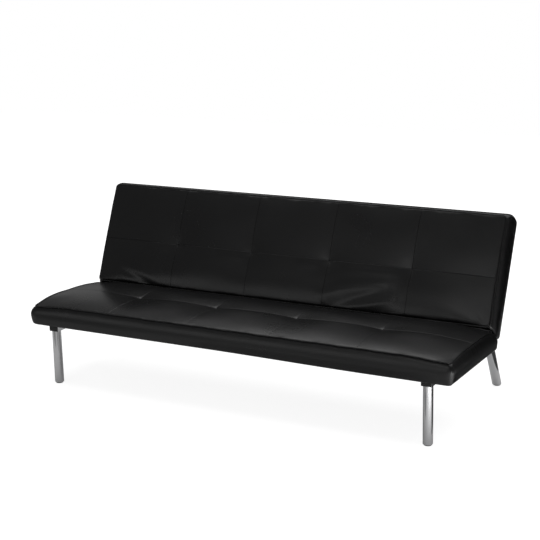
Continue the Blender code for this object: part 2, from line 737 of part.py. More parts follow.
def make_tube_cap(name, x, end, facing, bottom, material):
    """A plastic plug with a rounded flange, pushed into a tube's end. facing is -1 at the front."""
    low = (x - RAIL_WIDTH / 2, 0.0, bottom)
    high = (x + RAIL_WIDTH / 2, 0.0, bottom + RAIL_HEIGHT)
    inset = TUBE_WALL + GAP
    stations = [(CAP_ROUND, GAP + CAP_FLANGE), (0.0, GAP + CAP_FLANGE - CAP_ROUND), (0.0, GAP)]
    stations += [(inset, GAP), (inset, -CAP_PLUG)]
    places = [(inset, end + facing * place) for inset, place in stations]
    bm = bmesh.new()
    rings = add_square_rings(bm, low, high, 1, places)
    for ring, other in zip(rings, rings[1:]):
        bridge_rings(bm, ring, other)
    bm.faces.new(rings[0])
    bm.faces.new(rings[-1])
    return finish_object(name, bm, material)


def make_turned(name, profile, sides, place, material, hollow=False):
    """A piece turned about Z and put in its place, which may lean it."""
    bm = bmesh.new()
    add_lathe(bm, profile, sides, hollow)
    bmesh.ops.transform(bm, matrix=place, verts=bm.verts)
    return finish_object(name, bm, material)


def drill(piece, x, y, low, high):
    """A bolt's clearance hole, straight down through one wall."""
    profile = [(BOLT_RADIUS + GAP, low), (BOLT_RADIUS + GAP, high)]
    place = Matrix.Translation((x, y, 0.0))
    cut_away(piece, make_turned(f"{piece.name}_hole", profile, 12, place, piece.data.materials[0]))


def make_bolt(name, x, y, seat, length, material):
    """A round-headed bolt that hangs down from the wall under its head."""
    shoulder = seat + BOLT_HEAD_HEIGHT / 2
    top = seat + BOLT_HEAD_HEIGHT
    profile = [(0.7 * BOLT_HEAD_RADIUS, top), (BOLT_HEAD_RADIUS, shoulder), (BOLT_HEAD_RADIUS, seat)]
    profile += [(BOLT_RADIUS, seat), (BOLT_RADIUS, seat - length)]
    return make_turned(name, profile, 12, Matrix.Translation((x, y, 0.0)), material)


def leg_profile(top, hole):
    """A tube with a rolled-in foot end and a drilled disc welded in its top."""
    inner = LEG_RADIUS - TUBE_WALL
    floor = LEG_LIFT + TUBE_WALL
    profile = [(LEG_RADIUS, top)] + leg_end_roll()
    profile += [(LEG_LIP_RADIUS, LEG_LIFT), (LEG_LIP_RADIUS, floor), (inner - LEG_END_ROUND / 2, floor)]
    profile += [(inner, floor + LEG_END_ROUND / 2), (inner, top - LEG_TOP_THICKNESS)]
    return profile + [(hole, top - LEG_TOP_THICKNESS), (hole, top)]


def foot_profile():
    """A plastic glide: a flat disc below the leg and a stem up through the leg's rolled end."""
    disc = LEG_RADIUS - LEG_END_ROUND
    stem = LEG_LIP_RADIUS - GAP
    rim = LEG_LIFT - GAP
    profile = [(disc - FOOT_EDGE, 0.0), (disc, FOOT_EDGE), (disc, rim), (stem, rim)]
    return profile + [(stem, FOOT_STEM_LENGTH)]


def make_leg(label, x, distance, lean, holder, colours):
    """One leg with its glide and its bolt. holder is the tube above it, with its lower wall's height."""
    chrome, plastic, steel = colours
    tube, bottom = holder
    top = bottom - GAP
    slope = math.tan(lean)
    place = Matrix(
        (
            (1.0, 0.0, 0.0, x),
            (0.0, 1.0 / math.cos(lean), -slope, from_front(distance)),
            (0.0, 0.0, 1.0, 0.0),
            (0.0, 0.0, 0.0, 1.0),
        )
    )
    hole = BOLT_RADIUS + GAP + slope * LEG_TOP_THICKNESS / 2
    make_turned(f"{label}_leg", leg_profile(top, hole), 24, place, chrome, hollow=True)
    make_turned(f"{label}_foot", foot_profile(), 16, place, plastic)
    bolt_y = from_front(distance) - slope * (top - LEG_TOP_THICKNESS / 2)
    drill(tube, x, bolt_y, bottom - TUBE_WALL, bottom + 2 * TUBE_WALL)
    length = TUBE_WALL + 2 * GAP + LEG_TOP_THICKNESS + BOLT_REACH
    make_bolt(f"{label}_leg_bolt", x, bolt_y, bottom + TUBE_WALL + GAP, length, steel)


def make_frame_side(side, sign, materials):
    """One end of the chrome frame: rail, rear arm, spacer, buffer, caps and two legs."""
    chrome, plastic, steel, rubber = materials
    x = sign * RAIL_X
    half = RAIL_WIDTH / 2
    low = (x - half, from_front(RAIL_FRONT), RAIL_BOTTOM)
    high = (x + half, from_front(RAIL_REAR), RAIL_TOP)
    rail = make_box_tube(f"side_rail_{side}", low, high, 1, chrome)
    low = (x - half, from_front(ARM_FRONT), ARM_BOTTOM)
    high = (x + half, from_front(ARM_REAR), ARM_TOP)
    arm = make_box_tube(f"rear_arm_{side}", low, high, 1, chrome)
    make_tube_cap(f"rail_cap_{side}", x, from_front(RAIL_FRONT), -1, RAIL_BOTTOM, plastic)
    make_tube_cap(f"arm_cap_{side}", x, from_front(ARM_REAR), 1, ARM_BOTTOM, plastic)
    low = (x - half, from_front(ARM_FRONT + SPACER_MARGIN), ARM_TOP + GAP)
    high = (x + half, from_front(RAIL_REAR - SPACER_MARGIN), RAIL_BOTTOM - GAP)
    spacer = make_box(f"arm_spacer_{side}", low, high, steel)
    bolt_y = from_front(ARM_BOLT_DISTANCE)
    drill(rail, x, bolt_y, RAIL_BOTTOM - TUBE_WALL, RAIL_BOTTOM + 2 * TUBE_WALL)
    drill(spacer, x, bolt_y, ARM_TOP - TUBE_WALL, RAIL_BOTTOM + TUBE_WALL)
    drill(arm, x, bolt_y, ARM_TOP - 2 * TUBE_WALL, ARM_TOP + TUBE_WALL)
    length = 2 * TUBE_WALL + GAP + ARM_DROP + BOLT_REACH
    make_bolt(f"arm_bolt_{side}", x, bolt_y, RAIL_BOTTOM + TUBE_WALL + GAP, length, steel)
    top = HINGE_HEIGHT + BACK_BOTTOM - BUFFER_CLEARANCE
    profile = [(BUFFER_RADIUS, ARM_TOP + GAP), (BUFFER_RADIUS, top - GAP)]
    profile.append((BUFFER_RADIUS - BUFFER_CLEARANCE, top))
    place = Matrix.Translation((x, from_front(BUFFER_DISTANCE), 0.0))
    make_turned(f"back_buffer_{side}", profile, 16, place, rubber)
    colours = (chrome, plastic, steel)
    make_leg(f"front_{side}", x, FRONT_LEG_DISTANCE, 0.0, (rail, RAIL_BOTTOM), colours)
    make_leg(f"rear_{side}", x, REAR_FOOT_DISTANCE, SPLAY, (arm, ARM_BOTTOM), colours)


def make_cross_tubes(material):
    reach = RAIL_X - RAIL_WIDTH / 2 - GAP
    for name, distance in (("front", FRONT_CROSS_TUBE_DISTANCE), ("rear", REAR_CROSS_TUBE_DISTANCE)):
        low = (-reach, from_front(distance - RAIL_WIDTH / 2), RAIL_BOTTOM)
        high = (reach, from_front(distance + RAIL_WIDTH / 2), RAIL_TOP)
        make_box_tube(f"{name}_cross_tube", low, high, 0, material)


def make_seat(parent, cover, piping, timber):
    block = (SEAT_LENGTH, SEAT_DEPTH, SEAT_BOTTOM)
    pad = make_pad("seat_pad", *block, SEAT_DEPTH - SEAT_SEAM_DEPTH, -1, cover, parent)
    board_x = seat_board_x()
    pocket = (SEAT_DEPTH, SEAT_BOTTOM, board_x, SEAT_COVER_THICKNESS, SEAT_SLOT)
    hollow_pad(pad, "seat", -1, *pocket, parent, cover)
    make_piping("seat_piping", SEAT_LENGTH, SEAT_DEPTH, -1, piping, parent)
    sizes = (SEAT_DEPTH, SEAT_BOTTOM, board_x, SEAT_COVER_THICKNESS, SEAT_SLOT[0])
    make_timber_frame("seat", -1, *sizes, timber, parent)


def make_back(parent, cover, piping, timber):
    block = (BACK_LENGTH, BACK_HEIGHT, BACK_BOTTOM)
    pad = make_pad("back_pad", *block, BACK_SEAM_HEIGHT, 1, cover, parent)
    board_x = back_board_x()
    pocket = (BACK_HEIGHT, BACK_BOTTOM, board_x, BACK_COVER_THICKNESS, BACK_SLOT)
    hollow_pad(pad, "back", 1, *pocket, parent, cover)
    make_piping("back_piping", BACK_LENGTH, BACK_HEIGHT, 1, piping, parent)
    sizes = (BACK_HEIGHT, BACK_BOTTOM, board_x, BACK_COVER_THICKNESS, BACK_SLOT[0])
    make_timber_frame("back", 1, *sizes, timber, parent)


def make_sofa_bed():
    clear_scene()
    cover = make_material("black_faux_leather", (0.018, 0.018, 0.019), 0.42)
    piping = make_material("black_piping", (0.014, 0.014, 0.015), 0.38)
    chrome = make_material("chrome", (0.62, 0.62, 0.63), 0.12, 1.0)
    steel = make_material("zinc_steel", (0.45, 0.45, 0.46), 0.35, 1.0)
    plastic = make_material("black_plastic", (0.02, 0.02, 0.02), 0.5)
    rubber = make_material("black_rubber", (0.02, 0.02, 0.02), 0.8)
    wood = make_material("pine_board", (0.62, 0.45, 0.27), 0.7)
    panel = make_material("hardboard", (0.32, 0.2, 0.11), 0.75)
    lining = make_material("black_lining", (0.02, 0.02, 0.021), 0.9)
    hinge_place = (0.0, from_front(SEAT_DEPTH), HINGE_HEIGHT)
    seat_frame = make_empty("seat_frame", hinge_place)
    back_frame = make_empty("back_hinge_line", hinge_place, RECLINE_TURN)
    make_seat(seat_frame, cover, piping, (wood, panel, lining))
    make_back(back_frame, cover, piping, (wood, panel, lining))
    make_cross_tubes(chrome)
    for side, sign in SIDES:
        make_frame_side(side, sign, (chrome, plastic, steel, rubber))
        make_seat_plate(side, sign, steel, seat_frame)
        make_ratchet_plate(side, sign, steel, back_frame)
        make_hinge_pin(side, sign, steel, seat_frame)
        pivot = make_empty(f"pawl_pivot_{side}", (0.0, -PAWL_PIVOT.x, PAWL_PIVOT.y))
        pivot.parent = seat_frame
        make_pawl(side, sign, steel, pivot)
        make_spring(side, sign, steel, seat_frame)


make_sofa_bed()
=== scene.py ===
# %% [markdown]
# # An armless click-clack sofa bed in black faux leather
#
# The solids of this sofa bed come from a CAD model: timber frames, hinges, chrome tubes and two
# plain foam blocks. This lesson dresses them. It makes the two upholstered pads, their piping
# and linings, the chrome tubes and the small fasteners, gives everything a finish, and sets up
# a plain studio with the camera at the angle of a catalogue picture.

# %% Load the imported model
import json
import math
from contextlib import contextmanager
from functools import partial

import bmesh
import bpy
import numpy as np
from mathutils import Matrix, Vector


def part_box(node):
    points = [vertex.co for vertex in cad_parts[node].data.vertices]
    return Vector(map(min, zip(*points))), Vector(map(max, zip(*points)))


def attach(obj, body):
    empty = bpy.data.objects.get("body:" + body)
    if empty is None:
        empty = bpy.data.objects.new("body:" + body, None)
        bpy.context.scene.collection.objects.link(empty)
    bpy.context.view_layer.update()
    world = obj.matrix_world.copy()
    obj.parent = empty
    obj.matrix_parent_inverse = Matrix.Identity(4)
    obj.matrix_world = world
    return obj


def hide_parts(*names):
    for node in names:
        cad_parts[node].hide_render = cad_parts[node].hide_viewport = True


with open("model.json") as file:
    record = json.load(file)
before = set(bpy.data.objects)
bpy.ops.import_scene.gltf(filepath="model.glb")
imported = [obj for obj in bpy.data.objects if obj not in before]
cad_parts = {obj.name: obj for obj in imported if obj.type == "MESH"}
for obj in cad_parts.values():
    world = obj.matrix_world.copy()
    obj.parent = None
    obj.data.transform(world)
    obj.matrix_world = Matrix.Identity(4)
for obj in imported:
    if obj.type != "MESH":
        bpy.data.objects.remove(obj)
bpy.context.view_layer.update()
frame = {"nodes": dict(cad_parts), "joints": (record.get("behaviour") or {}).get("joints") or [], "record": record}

# %% [markdown]
# ## Two sets of directions
#
# The seat lies flat and the back leans, but both pads are the same kind of block. Each is
# modelled lying flat, in directions of its own: x along the sofa, y away from the hinge line and
# z out of the face that one sits on. A matrix for each pad then carries it to its place.

# %% The hinge line and the two pads' places
recline = next(joint for joint in frame["joints"] if joint["name"] == "back_recline")
HINGE_LINE = Vector(recline["pos_m"])
FULL_TURN = math.radians(recline["range_deg"][1])
MITRE = FULL_TURN / 2
LEAN = Matrix.Rotation(FULL_TURN, 4, "X")
PLACES = {
    "seat": Matrix.Translation(HINGE_LINE) @ Matrix.Diagonal((1.0, -1.0, 1.0, 1.0)),
    "back": Matrix.Translation(HINGE_LINE) @ LEAN,
}
BODIES = {"seat": "frame", "back": "back"}


def measure(node, pad):
    """Lowest and highest corner of a CAD node in a pad's own directions."""
    to_pad = PLACES[pad].inverted()
    spots = np.array([to_pad @ vertex.co for vertex in frame["nodes"][node].data.vertices])
    return Vector(spots.min(0)), Vector(spots.max(0))


# %% What the pads measure
def pad_sizes(pad):
    """The sewn edge comes from the piping's box and the rest from the foam block's box."""
    low, high = measure(f"{pad}_piping", pad)
    cord = (high.z - low.z) / 2
    block_low, block_high = measure(f"{pad}_pad", pad)
    names = ("end_board_right", "hinge_board", "far_board", "panel")
    end_board, hinge_board, far_board, panel = (measure(f"{pad}_{name}", pad) for name in names)
    return {
        "cord": cord,
        "top": high.z - cord,
        "bottom": block_low.z,
        "half": high.x - cord,
        "near": low.y + cord,
        "far": high.y - cord,
        "butt": block_low.y,
        "crown": block_high.z - (high.z - cord),
        "pocket": (end_board[1].x, hinge_board[0].y, far_board[1].y, panel[1].z),
    }


SIZES = {pad: pad_sizes(pad) for pad in PLACES}
for pad, sizes in SIZES.items():
    print(pad, {name: value for name, value in sizes.items() if name != "pocket"})

# %% [markdown]
# ## Faux leather
#
# Upholstery vinyl is a smooth black plastic skin with a pebbled grain about a millimetre
# across. Its colour is nearly nothing, so all that one sees is gloss. The grain is a cell
# texture in the bump only, a slow noise makes some areas a little shinier, and an attribute of
# the mesh says where the sewn seams run, which are a little duller.


# %% Helpers for nodes and materials
NOISE_RANGE = {"From_Min": 0.3, "From_Max": 0.7}


def add_node(owner, kind, **values):
    """Add a node to a tree. Values name its inputs, or its own settings in lower case."""
    node = getattr(owner, "node_tree", owner).nodes.new(kind)
    for name, value in values.items():
        socket = name.replace("_", " ")
        if socket in node.inputs:
            node.inputs[socket].default_value = value
        else:
            setattr(node, name, value)
    return node


def wire(owner, *rows):
    """Join nodes. Each row holds a source, its output, a target and its input."""
    links = getattr(owner, "node_tree", owner).links
    for source, output, target, socket in rows:
        links.new(source.outputs[output], target.inputs[socket])


def new_material(name, colour, roughness, metallic=0.0):
    """A material with uniform values set on the shader's own sockets."""
    material = bpy.data.materials.new(name)
    material.use_nodes = True
    shader = material.node_tree.nodes["Principled BSDF"]
    shader.inputs["Base Color"].default_value = (*colour, 1.0)
    shader.inputs["Roughness"].default_value = roughness
    shader.inputs["Metallic"].default_value = metallic
    return material, shader


def texture(material, kind, stretch=(1.0, 1.0, 1.0), **values):
    """A texture on Object coordinates, stretched along an axis where asked."""
    place = add_node(material, "ShaderNodeTexCoord")
    mapping = add_node(material, "ShaderNodeMapping", Scale=stretch)
    pattern = add_node(material, kind, **values)
    wire(material, (place, "Object", mapping, "Vector"), (mapping, "Vector", pattern, "Vector"))
    return pattern


def vary(material, source, target, socket, low, high):
    """Let a noise drive an input between two values."""
    ramp = add_node(material, "ShaderNodeMapRange", **NOISE_RANGE, To_Min=low, To_Max=high)
    wire(material, (source, "Fac", ramp, "Value"), (ramp, "Result", target, socket))


def add_bump(material, shader, source, output, strength, distance, under=None):
    """Raise a pattern out of the surface, over another bump where one is given."""
    bump = add_node(material, "ShaderNodeBump", Strength=strength, Distance=distance)
    wire(material, (source, output, bump, "Height"), (bump, "Normal", shader, "Normal"))
    if under is not None:
        wire(material, (under, "Normal", bump, "Normal"))
    return bump


# %% The leather itself
SEAM_DULLNESS = 0.12


def faux_leather(name, colour, roughness, grain):
    material, shader = new_material(name, colour, roughness)
    slow = texture(material, "ShaderNodeTexNoise", Scale=5.0, Detail=2.0)
    sewn = add_node(material, "ShaderNodeAttribute", attribute_name="seam")
    dull = add_node(material, "ShaderNodeMath", operation="MULTIPLY_ADD", use_clamp=True)
    dull.inputs[1].default_value = SEAM_DULLNESS
    vary(material, slow, dull, 2, roughness - 0.03, roughness + 0.04)
    wire(material, (sewn, "Fac", dull, 0), (dull, "Value", shader, "Roughness"))
    pebble = texture(material, "ShaderNodeTexVoronoi", Scale=1.0 / grain)
    first = add_bump(material, shader, pebble, "Distance", 0.10, 0.0003)
    crease = texture(material, "ShaderNodeTexNoise", Scale=0.3 / grain, Detail=3.0)
    add_bump(material, shader, crease, "Fac", 0.10, 0.0006, under=first)
    return material


LEATHER = faux_leather("black_faux_leather", (0.007, 0.007, 0.0074), 0.29, 0.0011)
PIPING_LEATHER = faux_leather("black_piping_leather", (0.007, 0.007, 0.0074), 0.29, 0.0009)
print("leather:", LEATHER.name, PIPING_LEATHER.name)


# %% Helpers for meshes and shapes
@contextmanager
def bmesh_of(mesh, source=None):
    """Edit a mesh as a bmesh, which starts from another mesh where one is given."""
    bm = bmesh.new()
    bm.from_mesh(source or mesh)
    yield bm
    bm.to_mesh(mesh)
    bm.free()


def add_piece(name, mesh, *materials):
    """Make an object from a mesh, give it its materials and link it."""
    mesh.name = name
    mesh.materials.clear()
    for material in materials:
        mesh.materials.append(material)
    piece = bpy.data.objects.new(name, mesh)
    bpy.context.scene.collection.objects.link(piece)
    return piece


def bake(piece, *tools):
    """The plain mesh that a piece's modifiers make. The piece and its tools are removed."""
    graph = bpy.context.evaluated_depsgraph_get()
    mesh = bpy.data.meshes.new_from_object(piece.evaluated_get(graph), depsgraph=graph)
    for old in (piece, *tools):
        bpy.data.objects.remove(old, do_unlink=True)
    return mesh


def settle(mesh, sharp=None):
    """Point the faces outwards and shade them smooth, with edges sharper than an angle kept."""
    with bmesh_of(mesh) as bm:
        bmesh.ops.recalc_face_normals(bm, faces=bm.faces)
    mesh.shade_smooth()
    if sharp is not None:
        mesh.set_sharp_from_angle(angle=math.radians(sharp))


def loft(name, loops, tip=None):
    """A closed mesh through loops of equally many points. It ends in a flat cap or a tip."""
    mesh = bpy.data.meshes.new(name)
    with bmesh_of(mesh) as bm:
        rows = [[bm.verts.new(spot) for spot in loop] for loop in loops]
        bm.faces.new(rows[0])
        if tip is None:
            bm.faces.new(rows[-1])
        else:
            middle = bm.verts.new(tip)
            for step in range(len(rows[-1])):
                bm.faces.new((rows[-1][step - 1], rows[-1][step], middle))
        for row, other in zip(rows, rows[1:]):
            for step in range(len(row)):
                bm.faces.new((row[step - 1], row[step], other[step], other[step - 1]))
        bmesh.ops.recalc_face_normals(bm, faces=bm.faces)
    return mesh


def share_of(low, high, value):
    """How far a value has come from low to high, between 0 and 1."""
    return np.clip((value - low) / (high - low), 0, 1)


def soft_step(low, high, value):
    share = share_of(low, high, value)
    return share * share * (3 - 2 * share)


def bell(gap, width, height=1.0):
    """A smooth hump, highest where the gap is nothing."""
    return height * np.exp(-((gap / width) ** 2))


# %% [markdown]
# ## The pads
#
# Each pad is a slab of firm foam in a sewn cover: one show face of ten panels, a band round the
# sides, and piping in the seam between them. The skin is one mesh. A grid covers the show face,
# with its lines close together wherever a seam runs, and its outline is repeated ring by ring
# down the band, round the bottom edge and up into the pocket of the timber frame.

# %% Values of the cover
PANELS = 5
CORNER = 0.014
SKIN_STEP = 0.009
BESIDE_SEAM = (0.0, 0.0014, 0.0034, 0.0065, 0.011, 0.017)
LONG_SEAM = {"seat": 0.229, "back": 0.221}
TUFT_SHIFT = {"seat": 0.004, "back": 0.0145}
END_PUFF = {"seat": 0.0175, "back": 0.0175}
FAR_PUFF = {"seat": 0.0110, "back": 0.0185}
REAR_FULLNESS = {"seat": 0.72, "back": 0.60}
SOFT_CORNER = 0.009

# Rings under the welt: how far each is tucked in, its drop from the top edge and its puff.
UNDER_WELT = (
    (0.0036, 0.0, 0.0),
    (0.0026, 0.0022, 0.0),
    (0.0018, 0.0040, 0.06),
    (0.0008, 0.0062, 0.24),
)
BAND_STEPS = 10
# Rings where the band turns under: the share of its fullness, and the height over the bottom.
TURN_UNDER = ((1.0, 0.0085), (0.93, 0.0050), (0.80, 0.0022), (0.55, 0.0005))
TURN_TUCK = 0.006
BOTTOM_TUCK = 0.0105
POCKET_GAP = 0.0003
HEM = 0.0015


def grid_places(low, high, seams):
    """Places of the grid lines, close at both rounded corners and at each seam."""
    keys = {low, high}
    for share in (0.25, 0.6, 1.0):
        keys |= {low + share * CORNER, high - share * CORNER}
    for seam in seams:
        keys |= {seam + side * gap for side in (-1, 1) for gap in BESIDE_SEAM}
    keys = sorted(keys)
    places = keys[:1]
    for start, end in zip(keys, keys[1:]):
        parts = max(1, round((end - start) / SKIN_STEP))
        places += [start + (end - start) * part / parts for part in range(1, parts + 1)]
    return np.array(places)


def cross_seams(pad):
    """Where the seams across the pad lie: at fifths, nudged as on the real cover."""
    length = 2 * SIZES[pad]["half"]
    return [length * (step / PANELS - 0.5) + TUFT_SHIFT[pad] for step in range(1, PANELS)]


# %% The rings of the skin
def mitre_depth(sizes, z):
    """How far the hinge end of a pad lies from the hinge line, at a height."""
    slope = math.tan(MITRE)
    return max(sizes["butt"], sizes["near"] + (z - sizes["top"]) * slope)


def ring(pad, tuck, z, puff=0.0):
    """One outline: height, half length, near end, far end and the radius of its far corners.

    Tuck draws the outline in under the welt. Puff is the share of the band's full swelling.
    """
    sizes = SIZES[pad]
    near = mitre_depth(sizes, z) + max(0.0, tuck) / math.cos(MITRE) ** 2
    half = sizes["half"] - tuck + puff * END_PUFF[pad]
    return z, half, near, sizes["far"] - tuck + puff * FAR_PUFF[pad], CORNER + puff * SOFT_CORNER


def band_rings(pad):
    """Outlines from the top edge, tucked under the welt, down the band and round the bottom."""
    top, bottom, rear = SIZES[pad]["top"], SIZES[pad]["bottom"], REAR_FULLNESS[pad]
    rings = [ring(pad, tuck, top - drop, puff) for tuck, drop, puff in UNDER_WELT]
    start, end = top - UNDER_WELT[-1][1], bottom + TURN_UNDER[0][1]
    for step in range(1, BAND_STEPS):
        share = step / BAND_STEPS
        flat_part = (1 - UNDER_WELT[-1][2]) * max(0.0, 1 - 2 * share) ** 2
        puff = 1 - flat_part - (1 - rear) * share**2
        rings.append(ring(pad, 0.0, start + (end - start) * share, puff))
    for keep, rise in TURN_UNDER:
        rings.append(ring(pad, TURN_TUCK * (1 - keep), bottom + rise, keep * rear))
    rings.append(ring(pad, BOTTOM_TUCK, bottom, 0.2 * rear))
    half, near, far, roof = SIZES[pad]["pocket"]
    for height, gap in (
        (bottom, HEM),
        (bottom, POCKET_GAP),
        (bottom + HEM, POCKET_GAP),
        (roof + POCKET_GAP, POCKET_GAP),
    ):
        rings.append((height, half + gap, near - gap, far + gap, CORNER))
    return rings


def on_ring(x, y, base, target):
    """Move a point of the top outline to another outline, with its corners rounded in plan."""
    half, near, far, round_far = target[1:]
    x = x * half / base[1]
    y = near + (y - base[2]) * (far - near) / (base[3] - base[2])
    radius = round_far if y > (near + far) / 2 else CORNER
    past_side = abs(x) - (half - radius)
    past_near, past_far = (near + radius) - y, y - (far - radius)
    past_end = max(past_near, past_far)
    if past_side > 0.0 and past_end > 0.0:
        pull = max(past_side, past_end) / math.hypot(past_side, past_end)
        x = math.copysign(half - radius + past_side * pull, x)
        if past_near > past_far:
            y = near + radius - past_near * pull
        else:
            y = far - radius + past_far * pull
    return x, y


# %% Corners that are drawn down by the tight cover
CORNER_DROP = {"seat": (0.0085, 0.0085), "back": (0.0030, 0.0010)}
LEFT_END_RISE = {"seat": 0.0080, "back": 0.0}
LEFT_END_OUT = {"seat": 0.0080, "back": 0.0}
FRONT_SAG = {"seat": 0.0060, "back": 0.0}


def relax(pad, x, y, z):
    """New x and z: far and near corners sink a little, and the seat's left end is fuller."""
    half, near, far = (SIZES[pad][name] for name in ("half", "near", "far"))
    share = share_of(SIZES[pad]["bottom"], SIZES[pad]["top"], z)
    from_end = np.maximum(half - np.abs(x), 0)
    far_drop, near_drop = CORNER_DROP[pad]
    drop = bell(from_end, 0.10) * (bell(far - y, 0.09, far_drop) + bell(y - near, 0.06, near_drop))
    swell = bell(from_end, 0.12) * np.sin(np.pi * share_of(near, far, y) ** 1.9) * (x < 0)
    at_front = share_of(far - 0.006, far, y) * soft_step(-0.1, 0.6, x)
    sag = FRONT_SAG[pad] * at_front * (1 - share) ** 2
    out = LEFT_END_OUT[pad] * (x < -half - 0.001) * np.sin(np.pi * share) ** 0.5
    return x - out, z + share * (LEFT_END_RISE[pad] * swell - drop) - sag


# %% Crown of the show face
NEAR_RISE = 0.020
FAR_FALL = {"seat": (0.72, 4.0, 18.0), "back": (0.92, 2.2, 24.0)}
END_FALL = {"seat": 14.0, "back": 13.0}


def crown_height(pad, x, y):
    """Height of the plump face above its sewn edge.

    It falls slowly to the far welt and to the ends. At the hinge line it rises steeply, so that
    seat and back meet in one closed crease that hides both welts.
    """
    sizes = SIZES[pad]
    share_x = x / sizes["half"]
    share_y = 2 * (y - sizes["near"]) / (sizes["far"] - sizes["near"]) - 1
    across = np.clip(1 - np.abs(share_x) ** END_FALL[pad], 0, 1)
    slow_part, slow_power, quick_power = FAR_FALL[pad]
    far_share = np.clip(share_y, 0, 1)
    far_side = 1 - slow_part * far_share**slow_power - (1 - slow_part) * far_share**quick_power
    near_side = 1 - np.clip(1 - (y - sizes["near"]) / NEAR_RISE, 0, 1) ** 2
    return sizes["crown"] * across * far_side * near_side


# %% Build the plain skin
def outline_indices(columns, rows):
    """Grid indices round the edge of the show face, once."""
    edge = [(column, 0) for column in range(columns)]
    edge += [(columns - 1, row) for row in range(1, rows)]
    edge += [(column, rows - 1) for column in range(columns - 2, -1, -1)]
    return edge + [(0, row) for row in range(rows - 2, 0, -1)]


def build_skin(pad):
    """The skin of a pad in its own directions, open at the pocket's roof, and each point's ring."""
    base, *lower_rings = band_rings(pad)
    xs = grid_places(-base[1], base[1], cross_seams(pad))
    ys = grid_places(base[2], base[3], [LONG_SEAM[pad]])
    spots, faces, on_seam = [], [], []
    for x in xs:
        for y in ys:
            height = base[0] + float(crown_height(pad, x, y))
            spots.append((*on_ring(x, y, base, base), height))
            across = min(abs(x - seam) for seam in cross_seams(pad)) < 1e-6
            on_seam.append(across or abs(y - LONG_SEAM[pad]) < 1e-6)
    for column in range(len(xs) - 1):
        for row in range(len(ys) - 1):
            corner = column * len(ys) + row
            faces.append((corner, corner + len(ys), corner + len(ys) + 1, corner + 1))
    edge = outline_indices(len(xs), len(ys))
    upper = [column * len(ys) + row for column, row in edge]
    level = np.zeros(len(spots))
    level[upper] = 1
    for target in lower_rings:
        lower = list(range(len(spots), len(spots) + len(edge)))
        spots += [(*on_ring(xs[column], ys[row], base, target), target[0]) for column, row in edge]
        for step in range(len(edge)):
            faces.append((upper[step - 1], lower[step - 1], lower[step], upper[step]))
        upper = lower
    level = np.append(level, np.repeat(np.arange(len(lower_rings)) + 2, len(edge)))
    spots = np.array(spots)
    spots[:, 0], spots[:, 2] = relax(pad, *spots.T)
    mesh = bpy.data.meshes.new(f"{pad}_skin")
    mesh.from_pydata(spots.tolist(), [], faces)
    on_seam += [False] * (len(spots) - len(on_seam))
    seam = mesh.attributes.new("seam", "FLOAT", "POINT")
    seam.data.foreach_set("value", np.array(on_seam, dtype=np.float32))
    return mesh, level


SKINS = {pad: build_skin(pad) for pad in PLACES}
for pad, (mesh, level) in SKINS.items():
    print(pad, "skin:", len(mesh.vertices), "vertices,", len(mesh.polygons), "faces")

# %% [markdown]
# ## Filling the covers
#
# A cover that is drawn flat looks like cardboard. Blender's cloth solver, with air pressure
# inside and gravity off, tensions the skin over the foam. The welts and the bottom edge are
# held, and so are eight small pinches, where a twine through the foam pulls the cover down.
# The pinches start low, but the cloth's rest shape is the flat cut, so the skin is dragged
# towards them and creases as real vinyl does. No point may move more than a set distance.

# %% Values of the filling
FRAMES = 20
MOST_MOVED = 0.022
PINCH = {"seat": (0.0046, 0.0018), "back": (0.0016, 0.0036)}
PINCH_REACH = {"seat": (0.010, 0.032), "back": (0.009, 0.050)}
PINCH_RADIUS = 0.004
SLACK = 1.004
LAST_FREE_RING = 12
CLOTH = {
    "quality": 6,
    "mass": 0.2,
    "tension_stiffness": 40.0,
    "compression_stiffness": 40.0,
    "shear_stiffness": 15.0,
    "bending_stiffness": 2.0,
    "use_pressure": True,
    "uniform_pressure_force": 4.0,
    "vertex_group_mass": "sewn",
}


def seam_gaps(pad, x, y):
    """How far each point is from a seam across, from the long seam and from a pinch."""
    gap_x = np.min([np.abs(x - seam) for seam in cross_seams(pad)], axis=0)
    gap_y = np.abs(y - LONG_SEAM[pad])
    return gap_x, gap_y, np.hypot(gap_x, gap_y)


def pinch_depth(pad, away):
    """How far the twine draws the skin down: a small sharp dimple in a wide shallow one."""
    (sharp, wide), (small, large) = PINCH[pad], PINCH_REACH[pad]
    return sharp * np.exp(-((away / small) ** 1.3)) + wide * np.exp(-((away / large) ** 1.1))


# %% Run the cloth solver once for a pad
def read_spots(mesh):
    spots = np.empty(len(mesh.vertices) * 3)
    mesh.vertices.foreach_get("co", spots)
    return spots.reshape(-1, 3)


def write_spots(mesh, spots):
    mesh.vertices.foreach_set("co", spots.astype(np.float32).ravel())
    mesh.update()


